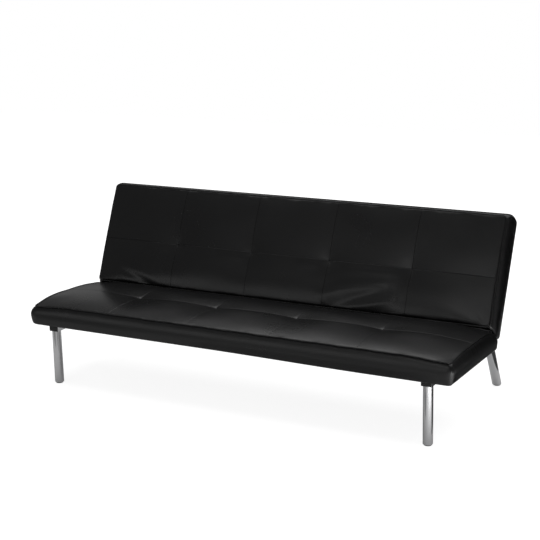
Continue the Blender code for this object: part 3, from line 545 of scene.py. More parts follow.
def fill_cover(pad, mesh, level):
    """Tension the skin over its foam, and put the result into the mesh."""
    cut = read_spots(mesh)
    away = seam_gaps(pad, cut[:, 0], cut[:, 1])[2]
    face = level == 0
    start = cut.copy()
    start[face, 2] -= pinch_depth(pad, away[face])
    write_spots(mesh, start)
    piece = add_piece(f"{pad}_filling", mesh)
    piece.shape_key_add(name="start")
    pattern = piece.shape_key_add(name="cut")
    loose = cut * (SLACK, SLACK, 1.0)
    pattern.data.foreach_set("co", loose.astype(np.float32).ravel())
    under_welt = (level >= 1) & (level <= len(UNDER_WELT))
    sewn = (level > LAST_FREE_RING) | under_welt | (face & (away < PINCH_RADIUS))
    held = piece.vertex_groups.new(name="sewn")
    held.add([int(index) for index in np.flatnonzero(sewn)], 1.0, "REPLACE")
    cloth = piece.modifiers.new("tension", "CLOTH")
    for name, value in CLOTH.items():
        setattr(cloth.settings, name, value)
    cloth.settings.effector_weights.gravity = 0.0
    cloth.settings.rest_shape_key = pattern
    cloth.point_cache.frame_start = 1
    cloth.point_cache.frame_end = FRAMES
    scene = bpy.context.scene
    for step in range(1, FRAMES + 1):
        scene.frame_set(step)
    evaluated = piece.evaluated_get(bpy.context.evaluated_depsgraph_get())
    change = read_spots(evaluated.data) - start
    length = np.linalg.norm(change, axis=1)
    change *= np.minimum(1.0, MOST_MOVED / np.maximum(length, 1e-9))[:, None]
    print(pad, "filling: moved at most", round(1000 * float(length.max()), 1), "mm")
    piece.shape_key_clear()
    bpy.data.objects.remove(piece, do_unlink=True)
    scene.frame_set(1)
    write_spots(mesh, start + change)


# %% [markdown]
# ## Seams, drags and welts
#
# The seams between the panels are fine: two turned edges meet in a thin deep slit, and the skin
# dips softly beside it. They are pressed into the finished skin, on the close grid lines that
# the attribute marks. The drags that run from the pinches and along the crease are added as
# ridges and grooves along lines of points.


# %% Pressed lines
def edge_wave(x, y):
    """The welts of a sewn cover are never dead straight."""
    wave = 0.0007 * np.sin(38 * x + 9 * y + 1.0) + 0.0004 * np.sin(91 * x - 30 * y)
    return wave + 0.0003 * np.sin(173 * x + 60 * y + 2.0)


def stroke(x, y, points, height, width):
    """A ridge, or a groove where the height is negative, along a line of points."""
    spots = x + 1j * y
    corners = [complex(*point) for point in points]
    lengths = [abs(end - start) for start, end in zip(corners, corners[1:])]
    best, along, passed = np.full(len(x), np.inf), np.zeros(len(x)), 0.0
    for start, end, length in zip(corners, corners[1:], lengths):
        step = (end - start) / length
        way = np.clip(((spots - start) * step.conjugate()).real, 0, length)
        away = np.abs(spots - start - way * step)
        along = np.where(away < best, (passed + way) / sum(lengths), along)
        best = np.minimum(away, best)
        passed += length
    return bell(best, width, height) * np.sin(np.pi * np.clip(along, 0.02, 0.98)) ** 0.6


# %% Where the cover is dragged
SEAT_PUCKERS = (
    ((-0.050, 0.220), (-0.025, 0.233), (0.0, 0.230)),
    ((0.0, 0.226), (0.003, 0.206), (-0.001, 0.185)),
)
DRAGS = {
    "back": [
        ([(-0.82, 0.116), (-0.74, 0.104), (-0.66, 0.080), (-0.56, 0.046)], 0.0016, 0.026),
        ([(-0.79, 0.092), (-0.69, 0.066), (-0.575, 0.026)], -0.0026, 0.015),
        ([(-0.72, 0.052), (-0.61, 0.028)], -0.0010, 0.011),
        (
            [(0.178, 0.050), (0.201, 0.085), (0.262, 0.112), (0.353, 0.133), (0.469, 0.153)],
            0.0050,
            0.027,
        ),
        ([(0.21, 0.034), (0.32, 0.078), (0.492, 0.138)], -0.0022, 0.018),
        ([(0.316, 0.047), (0.387, 0.062), (0.509, 0.091)], 0.0034, 0.018),
        ([(0.300, 0.022), (0.42, 0.032), (0.53, 0.050)], -0.0012, 0.013),
        ([(-0.66, 0.188), (-0.54, 0.196)], 0.0016, 0.016),
        ([(-0.31, 0.186), (-0.17, 0.196)], 0.0017, 0.018),
        ([(0.05, 0.190), (0.17, 0.198)], 0.0016, 0.016),
        ([(0.26, 0.188), (0.51, 0.196)], 0.0022, 0.018),
        ([(0.80, 0.060), (0.85, 0.020)], 0.0008, 0.009),
        ([(0.835, 0.085), (0.872, 0.035)], -0.0008, 0.007),
    ],
    "seat": [
        ([(x + aside, y) for aside, y in pucker], -0.0006, 0.006)
        for pucker in SEAT_PUCKERS
        for x in cross_seams("seat")
    ],
}
GATHER_WIDTH = 0.004


def on_end_band(pad, x):
    """One on the band of both ends, nothing on the rest of the skin."""
    return soft_step(SIZES[pad]["half"] - 0.004, SIZES[pad]["half"] + 0.002, np.abs(x))


def band_gathers(pad, x, y, z):
    """Small gathers that hang from the welt down the band, at uneven places. Returns the depth."""
    random = np.random.default_rng(7 if pad == "seat" else 11)
    below = SIZES[pad]["top"] - z
    far = SIZES[pad]["far"]

    def folds(along, places, jitter, most_lean, lengths, depths, deepest):
        depth = np.zeros(len(x))
        for place in places:
            spot = place + random.uniform(-jitter, jitter)
            lean = random.uniform(-most_lean, most_lean)
            length, deep = random.uniform(*lengths), random.uniform(*depths)
            gap = along - spot - lean * below
            depth += bell(gap, GATHER_WIDTH, deep * deepest) * bell(below, length)
        return depth

    front = folds(x, np.arange(-0.86, 0.87, 0.115), 0.04, 0.5, (0.012, 0.030), (0.3, 1.0), 0.0007)
    depth = soft_step(far - 0.004, far + 0.002, y) * front
    for sign in (-1, 1):
        end = folds(y, np.arange(0.06, 0.44, 0.055), 0.02, 0.6, (0.015, 0.040), (0.4, 1.2), 0.0009)
        depth += on_end_band(pad, x) * (np.sign(x) == sign) * end
    return depth * soft_step(0.002, 0.008, below)


# %% Press the seams and lay the drags
SEAM_WIDTH = 0.0012
SEAM_HAIRLINE = 0.0001
SEAM_VALLEY = 0.0002
SEAM_AT_TUFT = {"seat": 0.0004, "back": 0.0002}
SLIT = {"seat": 0.0012, "back": 0.0015}
TUFT_DIP = {"seat": (0.0, 0.030), "back": (0.0030, 0.034)}
BORDER = 0.012


def detail_skin(pad, mesh):
    """Press the seams into the subdivided skin and add its unevenness."""
    half, near, far, top = (SIZES[pad][name] for name in ("half", "near", "far", "top"))
    x, y, z = read_spots(mesh).T
    inner = soft_step(top - 0.010, top - 0.004, z)
    for gap in (half - np.abs(x), far - y, y - near):
        inner = inner * soft_step(0.0, BORDER, gap)
    gap_x, gap_y, away = seam_gaps(pad, x, y)
    deep = SEAM_HAIRLINE + SEAM_AT_TUFT[pad] * np.exp(-away / 0.05)
    press = deep * np.maximum(bell(gap_x, SEAM_WIDTH, 0.8), bell(gap_y, SEAM_WIDTH))
    valley = np.maximum(bell(gap_x, 0.010, 0.7), bell(gap_y, 0.011))
    press += SEAM_VALLEY * np.exp(-away / 0.07) * valley
    seam = np.empty(len(x))
    mesh.attributes["seam"].data.foreach_get("value", seam)
    press += SLIT[pad] * np.clip(2 * seam - 1, 0, 1)
    dip, dip_reach = TUFT_DIP[pad]
    press += dip * np.exp(-((away / dip_reach) ** 1.5))
    z = z - press * inner
    for points, height, width in DRAGS[pad]:
        z = z + stroke(x, y, points, height, width) * inner
    z = z + edge_wave(x, y) * soft_step(0.020, 0.0, top - z) * (1 - inner)
    uneven = 0.0006 * np.sin(17 * x + 2.0 * np.sin(9 * y + 1.0)) * np.sin(23 * y + 7 * x)
    z = z + uneven * inner
    gathers, on_end = band_gathers(pad, x, y, z), on_end_band(pad, x)
    x = x - np.sign(x) * gathers * on_end
    y = y - gathers * (1 - on_end)
    write_spots(mesh, np.stack([x, y, z], axis=1))


def subdivide(mesh):
    """Return the mesh after one smooth subdivision, and remove the old one."""
    piece = add_piece("subdividing", mesh)
    modifier = piece.modifiers.new("smooth", "SUBSURF")
    modifier.levels = modifier.render_levels = 1
    fine = bake(piece)
    bpy.data.meshes.remove(mesh)
    return fine


def close_roof(mesh):
    """Fill the one opening that is left, the roof of the timber frame's pocket."""
    with bmesh_of(mesh) as bm:
        bmesh.ops.holes_fill(bm, edges=[edge for edge in bm.edges if edge.is_boundary])


# %% Cut the hinge slots
SLOT_RADIUS = 0.030
SLOT_REACH = {"seat": (0.070, 0.0285), "back": (0.055, 0.0)}
SLOT_SIDE = 0.002
SLOT_STEPS = 16
SAME_SPOT = 0.000002


def slot_cutter(pad, sign):
    """A prism that is round at the hinge line and square where it runs out."""
    reach, roof = SLOT_REACH[pad]
    floor = SIZES[pad]["bottom"] - 0.02
    start = math.asin(roof / SLOT_RADIUS)
    turns = [start + (math.pi - start) * step / SLOT_STEPS for step in range(SLOT_STEPS + 1)]
    outline = [(reach, roof)]
    outline += [(SLOT_RADIUS * math.cos(turn), SLOT_RADIUS * math.sin(turn)) for turn in turns]
    outline += [(-SLOT_RADIUS, floor), (reach, floor)]
    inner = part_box("hinge_spring_right")[0].x - SLOT_SIDE
    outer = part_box("hinge_pin_right")[1].x + SLOT_SIDE
    return loft("slot", [[(sign * x, y, z) for y, z in outline] for x in (inner, outer)])


def cut_slots(pad, mesh):
    """Cut both slots, and split the many-sided faces that the cut leaves."""
    piece = add_piece(f"{pad}_uncut", mesh)
    cutters = [add_piece(f"{pad}_slot_{sign}", slot_cutter(pad, sign)) for sign in (-1, 1)]
    for cutter in cutters:
        cut = piece.modifiers.new("slot", "BOOLEAN")
        cut.operation = "DIFFERENCE"
        cut.solver = "EXACT"
        cut.object = cutter
    result = bake(piece, *cutters)
    with bmesh_of(result) as bm:
        bmesh.ops.remove_doubles(bm, verts=bm.verts, dist=SAME_SPOT)
        bmesh.ops.triangulate(bm, faces=[face for face in bm.faces if len(face.verts) > 4])
        open_edges = sum(not edge.is_manifold for edge in bm.edges)
    print(pad, "slots cut, open edges left:", open_edges)
    return result


# %% Make both cushions
for pad, (mesh, level) in SKINS.items():
    fill_cover(pad, mesh, level)
    mesh = subdivide(mesh)
    detail_skin(pad, mesh)
    close_roof(mesh)
    mesh = cut_slots(pad, mesh)
    mesh.transform(PLACES[pad])
    settle(mesh, sharp=60)
    cushion = add_piece(f"{pad}_cushion", mesh, LEATHER)
    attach(cushion, BODIES[pad])
    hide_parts(f"{pad}_pad")
    print(cushion.name, len(mesh.polygons), "faces")

# %% [markdown]
# ## Piping
#
# Piping is a cord in a strip of the same vinyl, sewn into the seam between face and band. Its
# shape follows a rule, a round section along a path, so Geometry Nodes sweep it: the path goes
# in as a loop of edges, and the tree turns it to a curve, gives it a section and a material.


# %% A tree that sweeps a round section
def node_group(name, inputs):
    """An empty Geometry Nodes tree with a geometry in and out, and named inputs."""
    tree = bpy.data.node_groups.new(name, "GeometryNodeTree")
    for label, kind in [("Geometry", "NodeSocketGeometry"), *inputs]:
        tree.interface.new_socket(label, in_out="INPUT", socket_type=kind)
    tree.interface.new_socket("Geometry", in_out="OUTPUT", socket_type="NodeSocketGeometry")
    return tree, tree.nodes.new("NodeGroupInput"), tree.nodes.new("NodeGroupOutput")


def finish_tree(tree, last, output, material, target):
    """Make a tree's result real and give it its material."""
    real = add_node(tree, "GeometryNodeRealizeInstances")
    paint = add_node(tree, "GeometryNodeSetMaterial", Material=material)
    wire(
        tree,
        (last, output, real, "Geometry"),
        (real, "Geometry", paint, "Geometry"),
        (paint, "Geometry", target, "Geometry"),
    )


def sweep_tree(material):
    inputs = [("Radius", "NodeSocketFloat"), ("Section points", "NodeSocketInt")]
    tree, source, target = node_group("Swept cord", inputs)
    add = partial(add_node, tree)
    path = add("GeometryNodeMeshToCurve")
    section = add("GeometryNodeCurvePrimitiveCircle")
    sweep = add("GeometryNodeCurveToMesh")
    wire(
        tree,
        (source, "Geometry", path, "Mesh"),
        (source, "Radius", section, "Radius"),
        (source, "Section points", section, "Resolution"),
        (path, "Curve", sweep, "Curve"),
        (section, "Curve", sweep, "Profile Curve"),
    )
    finish_tree(tree, sweep, "Mesh", material, target)
    return tree


def use_tree(piece, name, tree, values):
    """Give a piece a tree as a modifier, with each named input set by its identifier."""
    modifier = piece.modifiers.new(name, "NODES")
    modifier.node_group = tree
    for item in tree.interface.items_tree:
        if item.in_out == "INPUT" and item.name in values:
            modifier[item.identifier] = values[item.name]


def run_tree(name, mesh, tree, values):
    """Evaluate a tree on a mesh with named input values, and return the plain mesh."""
    piece = add_piece(name, mesh)
    use_tree(piece, "nodes", tree, values)
    return bake(piece)


# %% Sweep the piping of both pads
def welt_path(pad):
    """Points along the sewn edge, once round, with four rounded corners."""
    sizes = SIZES[pad]
    base = ring(pad, 0.0, sizes["top"])
    xs = grid_places(-base[1], base[1], [])
    ys = grid_places(base[2], base[3], [])
    spots = []
    for column, row in outline_indices(len(xs), len(ys)):
        x, y = on_ring(xs[column], ys[row], base, base)
        spots.append((x, y, sizes["top"] + float(edge_wave(x, y))))
    spots = np.array(spots)
    spots[:, 0], spots[:, 2] = relax(pad, *spots.T)
    return spots.tolist()


SWEEP = sweep_tree(PIPING_LEATHER)
for pad in PLACES:
    spots = welt_path(pad)
    path = bpy.data.meshes.new("path")
    path.from_pydata(spots, [(step, (step + 1) % len(spots)) for step in range(len(spots))], [])
    mesh = run_tree("welt", path, SWEEP, {"Radius": SIZES[pad]["cord"], "Section points": 12})
    mesh.transform(PLACES[pad])
    settle(mesh)
    piece = add_piece(f"{pad}_welt", mesh, PIPING_LEATHER)
    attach(piece, BODIES[pad])
    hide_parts(f"{pad}_piping")
    print(piece.name, len(mesh.polygons), "faces")

# %% [markdown]
# ## Metal, plastic, wood and lining
#
# The frame is chromed tube, the hinges are zinc-plated, the plugs and glides are moulded
# plastic. These solids are already right, so they keep their shape and get a finish.


# %% Finishes of the hard parts
def speckled_finish(name, colour, roughness, noise, spread, bump=0.0, metallic=0.0):
    """A noise makes the finish shinier here and duller there, and raises it a little."""
    material, shader = new_material(name, colour, roughness, metallic)
    scale, detail = noise
    cloud = texture(material, "ShaderNodeTexNoise", Scale=scale, Detail=detail)
    vary(material, cloud, shader, "Roughness", *spread)
    if bump:
        add_bump(material, shader, cloud, "Fac", bump, 0.0002)
    return material


def wood_finish(name, light, dark, stretch):
    """Long grain: a noise that is squeezed along the boards' length colours the wood."""
    material, shader = new_material(name, light, 0.7)
    grain = texture(material, "ShaderNodeTexNoise", stretch, Scale=60.0, Detail=5.0)
    mix = add_node(material, "ShaderNodeMix", data_type="RGBA")
    mix.inputs[6].default_value = (*dark, 1.0)
    mix.inputs[7].default_value = (*light, 1.0)
    wire(material, (grain, "Fac", mix, 0), (mix, 2, shader, "Base Color"))
    vary(material, grain, shader, "Roughness", 0.6, 0.82)
    add_bump(material, shader, grain, "Fac", 0.2, 0.0004)
    return material


def lining_finish():
    """Spun-bonded black cloth: short fibres and small dimples, quite dull."""
    material, shader = new_material("spun_bonded_lining", (0.012, 0.012, 0.013), 0.9)
    dimple = texture(material, "ShaderNodeTexVoronoi", Scale=650.0)
    fibre = texture(material, "ShaderNodeTexNoise", Scale=900.0, Detail=3.0)
    first = add_bump(material, shader, dimple, "Distance", 0.35, 0.0003)
    add_bump(material, shader, fibre, "Fac", 0.3, 0.0002, under=first)
    vary(material, fibre, shader, "Roughness", 0.8, 0.98)
    return material


CHROME, ZINC = (0.70, 0.70, 0.71), (0.50, 0.50, 0.49)
PLASTIC, RUBBER = (0.012, 0.012, 0.012), (0.016, 0.016, 0.016)
PINE, PINE_GRAIN = (0.50, 0.35, 0.20), (0.34, 0.21, 0.11)
BOARD, BOARD_GRAIN = (0.26, 0.16, 0.09), (0.16, 0.10, 0.05)
FINISHES = {
    "chrome": speckled_finish("chrome_plate", CHROME, 0.10, (14.0, 4.0), (0.06, 0.15), 0.0, 1.0),
    "zinc_steel": speckled_finish("zinc_plate", ZINC, 0.34, (90.0, 3.0), (0.26, 0.44), 0.06, 1.0),
    "black_plastic": speckled_finish(
        "moulded_black_plastic", PLASTIC, 0.42, (700.0, 2.0), (0.36, 0.50), 0.12
    ),
    "rubber": speckled_finish("black_rubber", RUBBER, 0.78, (500.0, 2.0), (0.72, 0.86), 0.12),
    "pine": wood_finish("pine_boards", PINE, PINE_GRAIN, (0.05, 1.0, 1.0)),
    "hardboard": wood_finish("hardboard_panel", BOARD, BOARD_GRAIN, (1.0, 1.0, 1.0)),
    "lining": lining_finish(),
    "faux_leather": LEATHER,
    "piping": PIPING_LEATHER,
}

# %% [markdown]
# ## Edges of the hard parts
#
# A CAD solid has knife edges, and real tubes, plates and boards don't: their rounded edges catch
# the light. The meshes stay as they are. Live modifiers weld their triangles together, round
# the edges by a width that suits the stuff, and shade round shapes smooth.


# %% A small tree that shades by angle
def smooth_tree():
    """All faces smooth, and the edges sharp that turn by more than an angle."""
    tree, source, target = node_group("Smooth shading", [("Angle", "NodeSocketFloat")])
    add = partial(add_node, tree)
    angle = add("GeometryNodeInputMeshEdgeAngle")
    flat = add("FunctionNodeCompare", operation="LESS_THAN")
    faces = add("GeometryNodeSetShadeSmooth")
    edges = add("GeometryNodeSetShadeSmooth", domain="EDGE")
    wire(
        tree,
        (source, "Geometry", faces, "Geometry"),
        (faces, "Geometry", edges, "Geometry"),
        (angle, "Unsigned Angle", flat, "A"),
        (source, "Angle", flat, "B"),
        (flat, "Result", edges, "Shade Smooth"),
        (edges, "Geometry", target, "Geometry"),
    )
    return tree


SMOOTH = smooth_tree()
WELD_GAP = 0.00001
EDGE_WIDTHS = {
    "chrome": 0.0007,
    "zinc_steel": 0.0003,
    "black_plastic": 0.0004,
    "rubber": 0.0005,
    "pine": 0.0012,
    "hardboard": 0.0004,
}


def soften(piece, width):
    """Weld, round and shade a hard piece with live modifiers."""
    piece.modifiers.new("weld", "WELD").merge_threshold = WELD_GAP
    if width:
        edge = piece.modifiers.new("edges", "BEVEL")
        edge.limit_method = "ANGLE"
        edge.angle_limit = math.radians(40)
        edge.width = width
        edge.segments = 2
    use_tree(piece, "shade", SMOOTH, {"Angle": math.radians(32)})
    normals = piece.modifiers.new("normals", "WEIGHTED_NORMAL")
    normals.weight = 100
    normals.keep_sharp = True


# %% Dress the CAD nodes
for row in frame["record"]["subparts"]:
    node = frame["nodes"][row["node"]]
    node.data.materials.clear()
    node.data.materials.append(FINISHES[row["material_slot"]])
    if row["material_slot"] in EDGE_WIDTHS:
        width = 0.0 if "spring" in row["node"] else EDGE_WIDTHS[row["material_slot"]]
        soften(node, width)
print("finishes:", len(FINISHES))

# %% [markdown]
# ## Linings
#
# The undersides are closed with black spun-bonded cloth, stapled to the boards and drawn tight.
# Each is a copy of its CAD sheet, cut into a fine grid, and drawn in a little between the boards
# with the shallow puckers that staples make.


# %% Make the linings
STAPLE_STEP = 0.045


def lining_lift(pad, x, y, low, high):
    """How far the cloth is drawn in between the boards, with puckers near the border."""
    inner = [measure(f"{pad}_cross_board_{side}", pad) for side in ("left", "right")]
    middles = [(board[0].x + board[1].x) / 2 for board in inner]
    bays = sorted([low.x + 0.02, high.x - 0.02, *middles])
    share_y = share_of(low.y + 0.018, high.y - 0.018, y)
    lift = np.zeros(len(x))
    for start, end in zip(bays, bays[1:]):
        share_x = share_of(start, end, x)
        lift += 0.0032 * np.sin(np.pi * share_x) ** 0.7 * np.sin(np.pi * share_y) ** 0.7
    border = np.minimum(np.minimum(x - low.x, high.x - x), np.minimum(y - low.y, high.y - y))
    pucker = 0.5 + 0.5 * np.sin(2 * np.pi * (x + y) / STAPLE_STEP)
    lift += 0.0006 * pucker * bell(border - 0.024, 0.012)
    slack = 0.5 + 0.5 * np.sin(31 * x + 3 * np.sin(14 * y)) * np.sin(26 * y + 5 * x)
    return lift + 0.0008 * slack * np.sin(np.pi * share_y)


def make_lining(pad):
    node = frame["nodes"][f"{pad}_dust_cover"]
    low, high = measure(f"{pad}_dust_cover", pad)
    mesh = bpy.data.meshes.new("lining")
    with bmesh_of(mesh, node.data) as bm:
        bmesh.ops.remove_doubles(bm, verts=bm.verts, dist=WELD_GAP)
        bmesh.ops.transform(bm, matrix=PLACES[pad].inverted(), verts=bm.verts)
        for axis, step in ((0, 0.022), (1, 0.018)):
            way = [float(axis == 0), float(axis == 1), 0.0]
            for cut in np.arange(low[axis] + step / 2, high[axis], step):
                spot = [cut * part for part in way]
                everything = bm.verts[:] + bm.edges[:] + bm.faces[:]
                bmesh.ops.bisect_plane(bm, geom=everything, plane_co=spot, plane_no=way)
        spots = np.array([vertex.co for vertex in bm.verts])
        for vertex, rise in zip(bm.verts, lining_lift(pad, *spots[:, :2].T, low, high)):
            vertex.co.z += rise
        bmesh.ops.transform(bm, matrix=PLACES[pad], verts=bm.verts)
    settle(mesh, sharp=50)
    cloth = add_piece(f"{pad}_lining", mesh, FINISHES["lining"])
    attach(cloth, BODIES[pad])
    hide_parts(f"{pad}_dust_cover")
    print(cloth.name, len(mesh.polygons), "faces")
    return low, high


LINING_BOXES = {pad: make_lining(pad) for pad in PLACES}

# %% [markdown]
# ## Staples and screws
#
# The same small thing many times over is a job for Geometry Nodes. A mesh of loose points says
# where each fastener goes, and two attributes say which way it faces and how it is turned. One
# tree puts a copy on each point and gives it a small random turn, so that no row looks printed.


# %% A tree that sets fasteners on points
def fastener_tree(material):
    inputs = [("Fastener", "NodeSocketObject"), ("Loose turn", "NodeSocketFloat")]
    tree, source, target = node_group("Set fasteners", [*inputs, ("Seed", "NodeSocketInt")])
    add = partial(add_node, tree)
    shape = add("GeometryNodeObjectInfo")
    named = "GeometryNodeInputNamedAttribute"
    facing = add(named, data_type="FLOAT_VECTOR", Name="facing")
    turn = add(named, data_type="FLOAT", Name="turn")
    least = add("ShaderNodeMath", operation="MULTIPLY")
    least.inputs[1].default_value = -1.0
    loose = add("FunctionNodeRandomValue")
    total = add("ShaderNodeMath")
    aim = add("FunctionNodeAlignRotationToVector", axis="Z")
    spin = add("FunctionNodeAxisAngleToRotation")
    both = add("FunctionNodeRotateRotation", rotation_space="LOCAL")
    place = add("GeometryNodeInstanceOnPoints")
    wire(
        tree,
        (source, "Fastener", shape, "Object"),
        (source, "Loose turn", least, 0),
        (least, 0, loose, 2),
        (source, "Loose turn", loose, 3),
        (source, "Seed", loose, "Seed"),
        (turn, "Attribute", total, 0),
        (loose, 1, total, 1),
        (facing, "Attribute", aim, "Vector"),
        (total, 0, spin, "Angle"),
        (aim, "Rotation", both, "Rotation"),
        (spin, "Rotation", both, "Rotate By"),
        (source, "Geometry", place, "Points"),
        (shape, "Geometry", place, "Instance"),
        (both, "Rotation", place, "Rotation"),
    )
    finish_tree(tree, place, "Instances", material, target)
    return tree


FASTENERS = fastener_tree(FINISHES["zinc_steel"])


# %% One staple and one screw head
HALF_WIRE = 0.0006
SCREW_SIDES = 12


def staple_mesh():
    """The crown of a wire staple, 10 mm wide, with its shoulders going into the board."""
    path = [(-0.0050, -0.0006, 0.0004), (-0.0049, 0.0002, 0.0004), (-0.0044, 0.0005, 0.0006)]
    path += [(-x, z, thick) for x, z, thick in reversed(path)]
    loops = []
    for x, z, thick in path:
        section = ((-1, z - thick), (1, z - thick), (1, z), (-1, z))
        loops.append([(x, side * HALF_WIRE, height) for side, height in section])
    return loft("staple", loops)


def screw_mesh():
    """A pan head with a cross recess: radius, height and depth of the cross, ring by ring."""
    rings = [(0.0046, -0.0004, 0.0), (0.0046, 0.0009, 0.0), (0.0040, 0.0018, 0.0)]
    rings += [(0.0024, 0.0023, 0.0), (0.0023, 0.0022, 0.0012)]
    loops = []
    for radius, height, recess in rings:
        loop = []
        for side in range(SCREW_SIDES):
            turn = 2 * math.pi * side / SCREW_SIDES
            down = recess * (side % 3 == 0)
            loop.append((radius * math.cos(turn), radius * math.sin(turn), height - down))
        loops.append(loop)
    return loft("screw_head", loops, tip=(0.0, 0.0, 0.0008))


# %% Set them
def points_mesh(rows):
    """A mesh of loose points from rows of place, facing and turn."""
    mesh = bpy.data.meshes.new("points")
    mesh.from_pydata([row[0] for row in rows], [], [])
    facing = mesh.attributes.new("facing", "FLOAT_VECTOR", "POINT")
    facing.data.foreach_set("vector", [value for row in rows for value in row[1]])
    turn = mesh.attributes.new("turn", "FLOAT", "POINT")
    turn.data.foreach_set("value", [row[2] for row in rows])
    return mesh


def set_fasteners(name, body, fastener, rows, loose, seed):
    """Put a copy of one fastener on each row's place, as one piece."""
    shape = add_piece("one_fastener", fastener)
    values = {"Fastener": shape, "Loose turn": loose, "Seed": seed}
    mesh = run_tree(name, points_mesh(rows), FASTENERS, values)
    bpy.data.objects.remove(shape, do_unlink=True)
    settle(mesh, sharp=40)
    piece = add_piece(name, mesh, FINISHES["zinc_steel"])
    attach(piece, body)
    print(piece.name, len(rows), "fasteners,", len(mesh.polygons), "faces")


STAPLE_INSET = 0.008
RAIL_GAP = 0.008


def staple_rows(pad):
    """Places along the lining's border, left out where a chrome rail passes under the seat."""
    low, high = LINING_BOXES[pad]
    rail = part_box("side_rail_right")
    down = (PLACES[pad].to_3x3() @ Vector((0, 0, -1))).normalized()
    rows = []
    for axis, margin, turn in ((0, 0.02, 0.0), (1, 0.04, math.pi / 2)):
        across = 1 - axis
        for side in (low[across] + STAPLE_INSET, high[across] - STAPLE_INSET):
            count = round((high[axis] - low[axis] - 2 * margin) / STAPLE_STEP) + 1
            for along in np.linspace(low[axis] + margin, high[axis] - margin, count):
                under_rail = rail[0].x - RAIL_GAP < abs(along) < rail[1].x + RAIL_GAP
                if axis == 0 and pad == "seat" and under_rail:
                    continue
                rows.append(((along, side, low.z) if axis == 0 else (side, along, low.z), turn))
    return [(tuple(PLACES[pad] @ Vector(spot)), tuple(down), turn) for spot, turn in rows]


for pad in PLACES:
    rows = staple_rows(pad)
    set_fasteners(f"{pad}_staples", BODIES[pad], staple_mesh(), rows, 0.12, 3)

SCREW_DISTANCES = (0.115, 0.148)
for pad, plate, drop in (("seat", "hinge_seat_plate", 0.024), ("back", "hinge_ratchet", 0.046)):
    rows = []
    for side, sign in (("left", -1), ("right", 1)):
        low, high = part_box(f"{plate}_{side}")
        face_x = high.x if sign < 0 else low.x
        for distance in SCREW_DISTANCES:
            spot = PLACES[pad] @ Vector((face_x, distance, -drop))
            rows.append((tuple(spot), (-sign, 0.0, 0.0), 0.4))
    set_fasteners(f"{pad}_hinge_screws", BODIES[pad], screw_mesh(), rows, 3.0, 5)

# %% [markdown]
# ## The studio
#
# A catalogue picture has a white ground. The floor is pale paper that glows for the camera and
# still takes the sofa's soft shadow. Mirrors see it much dimmer, and from below it is clear.
# Large soft lamps light the sofa from above and from the left. Dark and grey cards, which only
# reflections see, stand and lie around: they keep black vinyl black and give chrome its bands.
# Those on the floor are painted shade, where the floor lies in the sofa's shadow, and those that
# stand are dark shapes painted into the reflections.

# %% Floor and backdrop
FLOOR_REACH = 7.0
GLOW_RANGE = {"From_Min": 1.9, "From_Max": 4.5, "To_Min": 0.87, "To_Max": 1.05}
MIRRORED_GLOW = 0.14
WHITE = (1.0, 1.0, 1.0, 1.0)
PAPER = (0.65, 0.65, 0.65, 1.0)


def white_ground():
    """Plain paper with a glow for the camera, fuller towards the horizon, and a little in mirrors.

    From below it is clear, so that the underside of the sofa can be looked at.
    """
    material = bpy.data.materials.new("white_paper")
    material.use_nodes = True
    material.node_tree.nodes.clear()
    add = partial(add_node, material)
    paper = add("ShaderNodeBsdfDiffuse", Color=PAPER)
    glow = add("ShaderNodeEmission", Color=WHITE)
    path = add("ShaderNodeLightPath")
    place = add("ShaderNodeTexCoord")
    away = add("ShaderNodeVectorMath", operation="LENGTH")
    far = add("ShaderNodeMapRange", **GLOW_RANGE)
    seen = add("ShaderNodeMath", operation="MULTIPLY")
    mirror = add("ShaderNodeMath", operation="MAXIMUM")
    total = add("ShaderNodeMath", operation="MULTIPLY_ADD")
    total.inputs[1].default_value = MIRRORED_GLOW
    both = add("ShaderNodeAddShader")
    side = add("ShaderNodeNewGeometry")
    clear = add("ShaderNodeBsdfTransparent")
    sheet = add("ShaderNodeMixShader")
    output = add("ShaderNodeOutputMaterial")
    wire(
        material,
        (path, "Is Camera Ray", seen, 0),
        (place, "Object", away, 0),
        (away, "Value", far, "Value"),
        (far, "Result", seen, 1),
        (path, "Is Glossy Ray", mirror, 0),
        (path, "Is Transmission Ray", mirror, 1),
        (mirror, 0, total, 0),
        (seen, 0, total, 2),
        (total, 0, glow, "Strength"),
        (paper, 0, both, 0),
        (glow, 0, both, 1),
        (side, "Backfacing", sheet, 0),
        (both, 0, sheet, 1),
        (clear, 0, sheet, 2),
        (sheet, 0, output, "Surface"),
    )
    return material


def flat_mesh(name, corners):
    mesh = bpy.data.meshes.new(name)
    mesh.from_pydata(corners, [], [tuple(range(len(corners)))])
    return mesh


sides = ((-1, -1), (1, -1), (1, 1), (-1, 1))
floor_mesh = flat_mesh("floor", [(x * FLOOR_REACH, y * FLOOR_REACH, 0) for x, y in sides])
floor = add_piece("studio_floor", floor_mesh, white_ground())


# %% Cards that keep the dark sides dark: painted shade and dark reflections that only mirrors see
def add_flag(name, corners, tone=0.01):
    """A black or grey card that only reflections see: a painted shade or a painted dark reflection."""
    reflected_shade = new_material(f"{name}_felt", (tone, tone, tone), 1.0)[0]
    flag = add_piece(name, flat_mesh(name, corners), reflected_shade)
    # Painted shade and painted reflection: mirrors alone see the card, and it casts no shadow.
    flag.visible_camera = flag.visible_diffuse = flag.visible_shadow = False
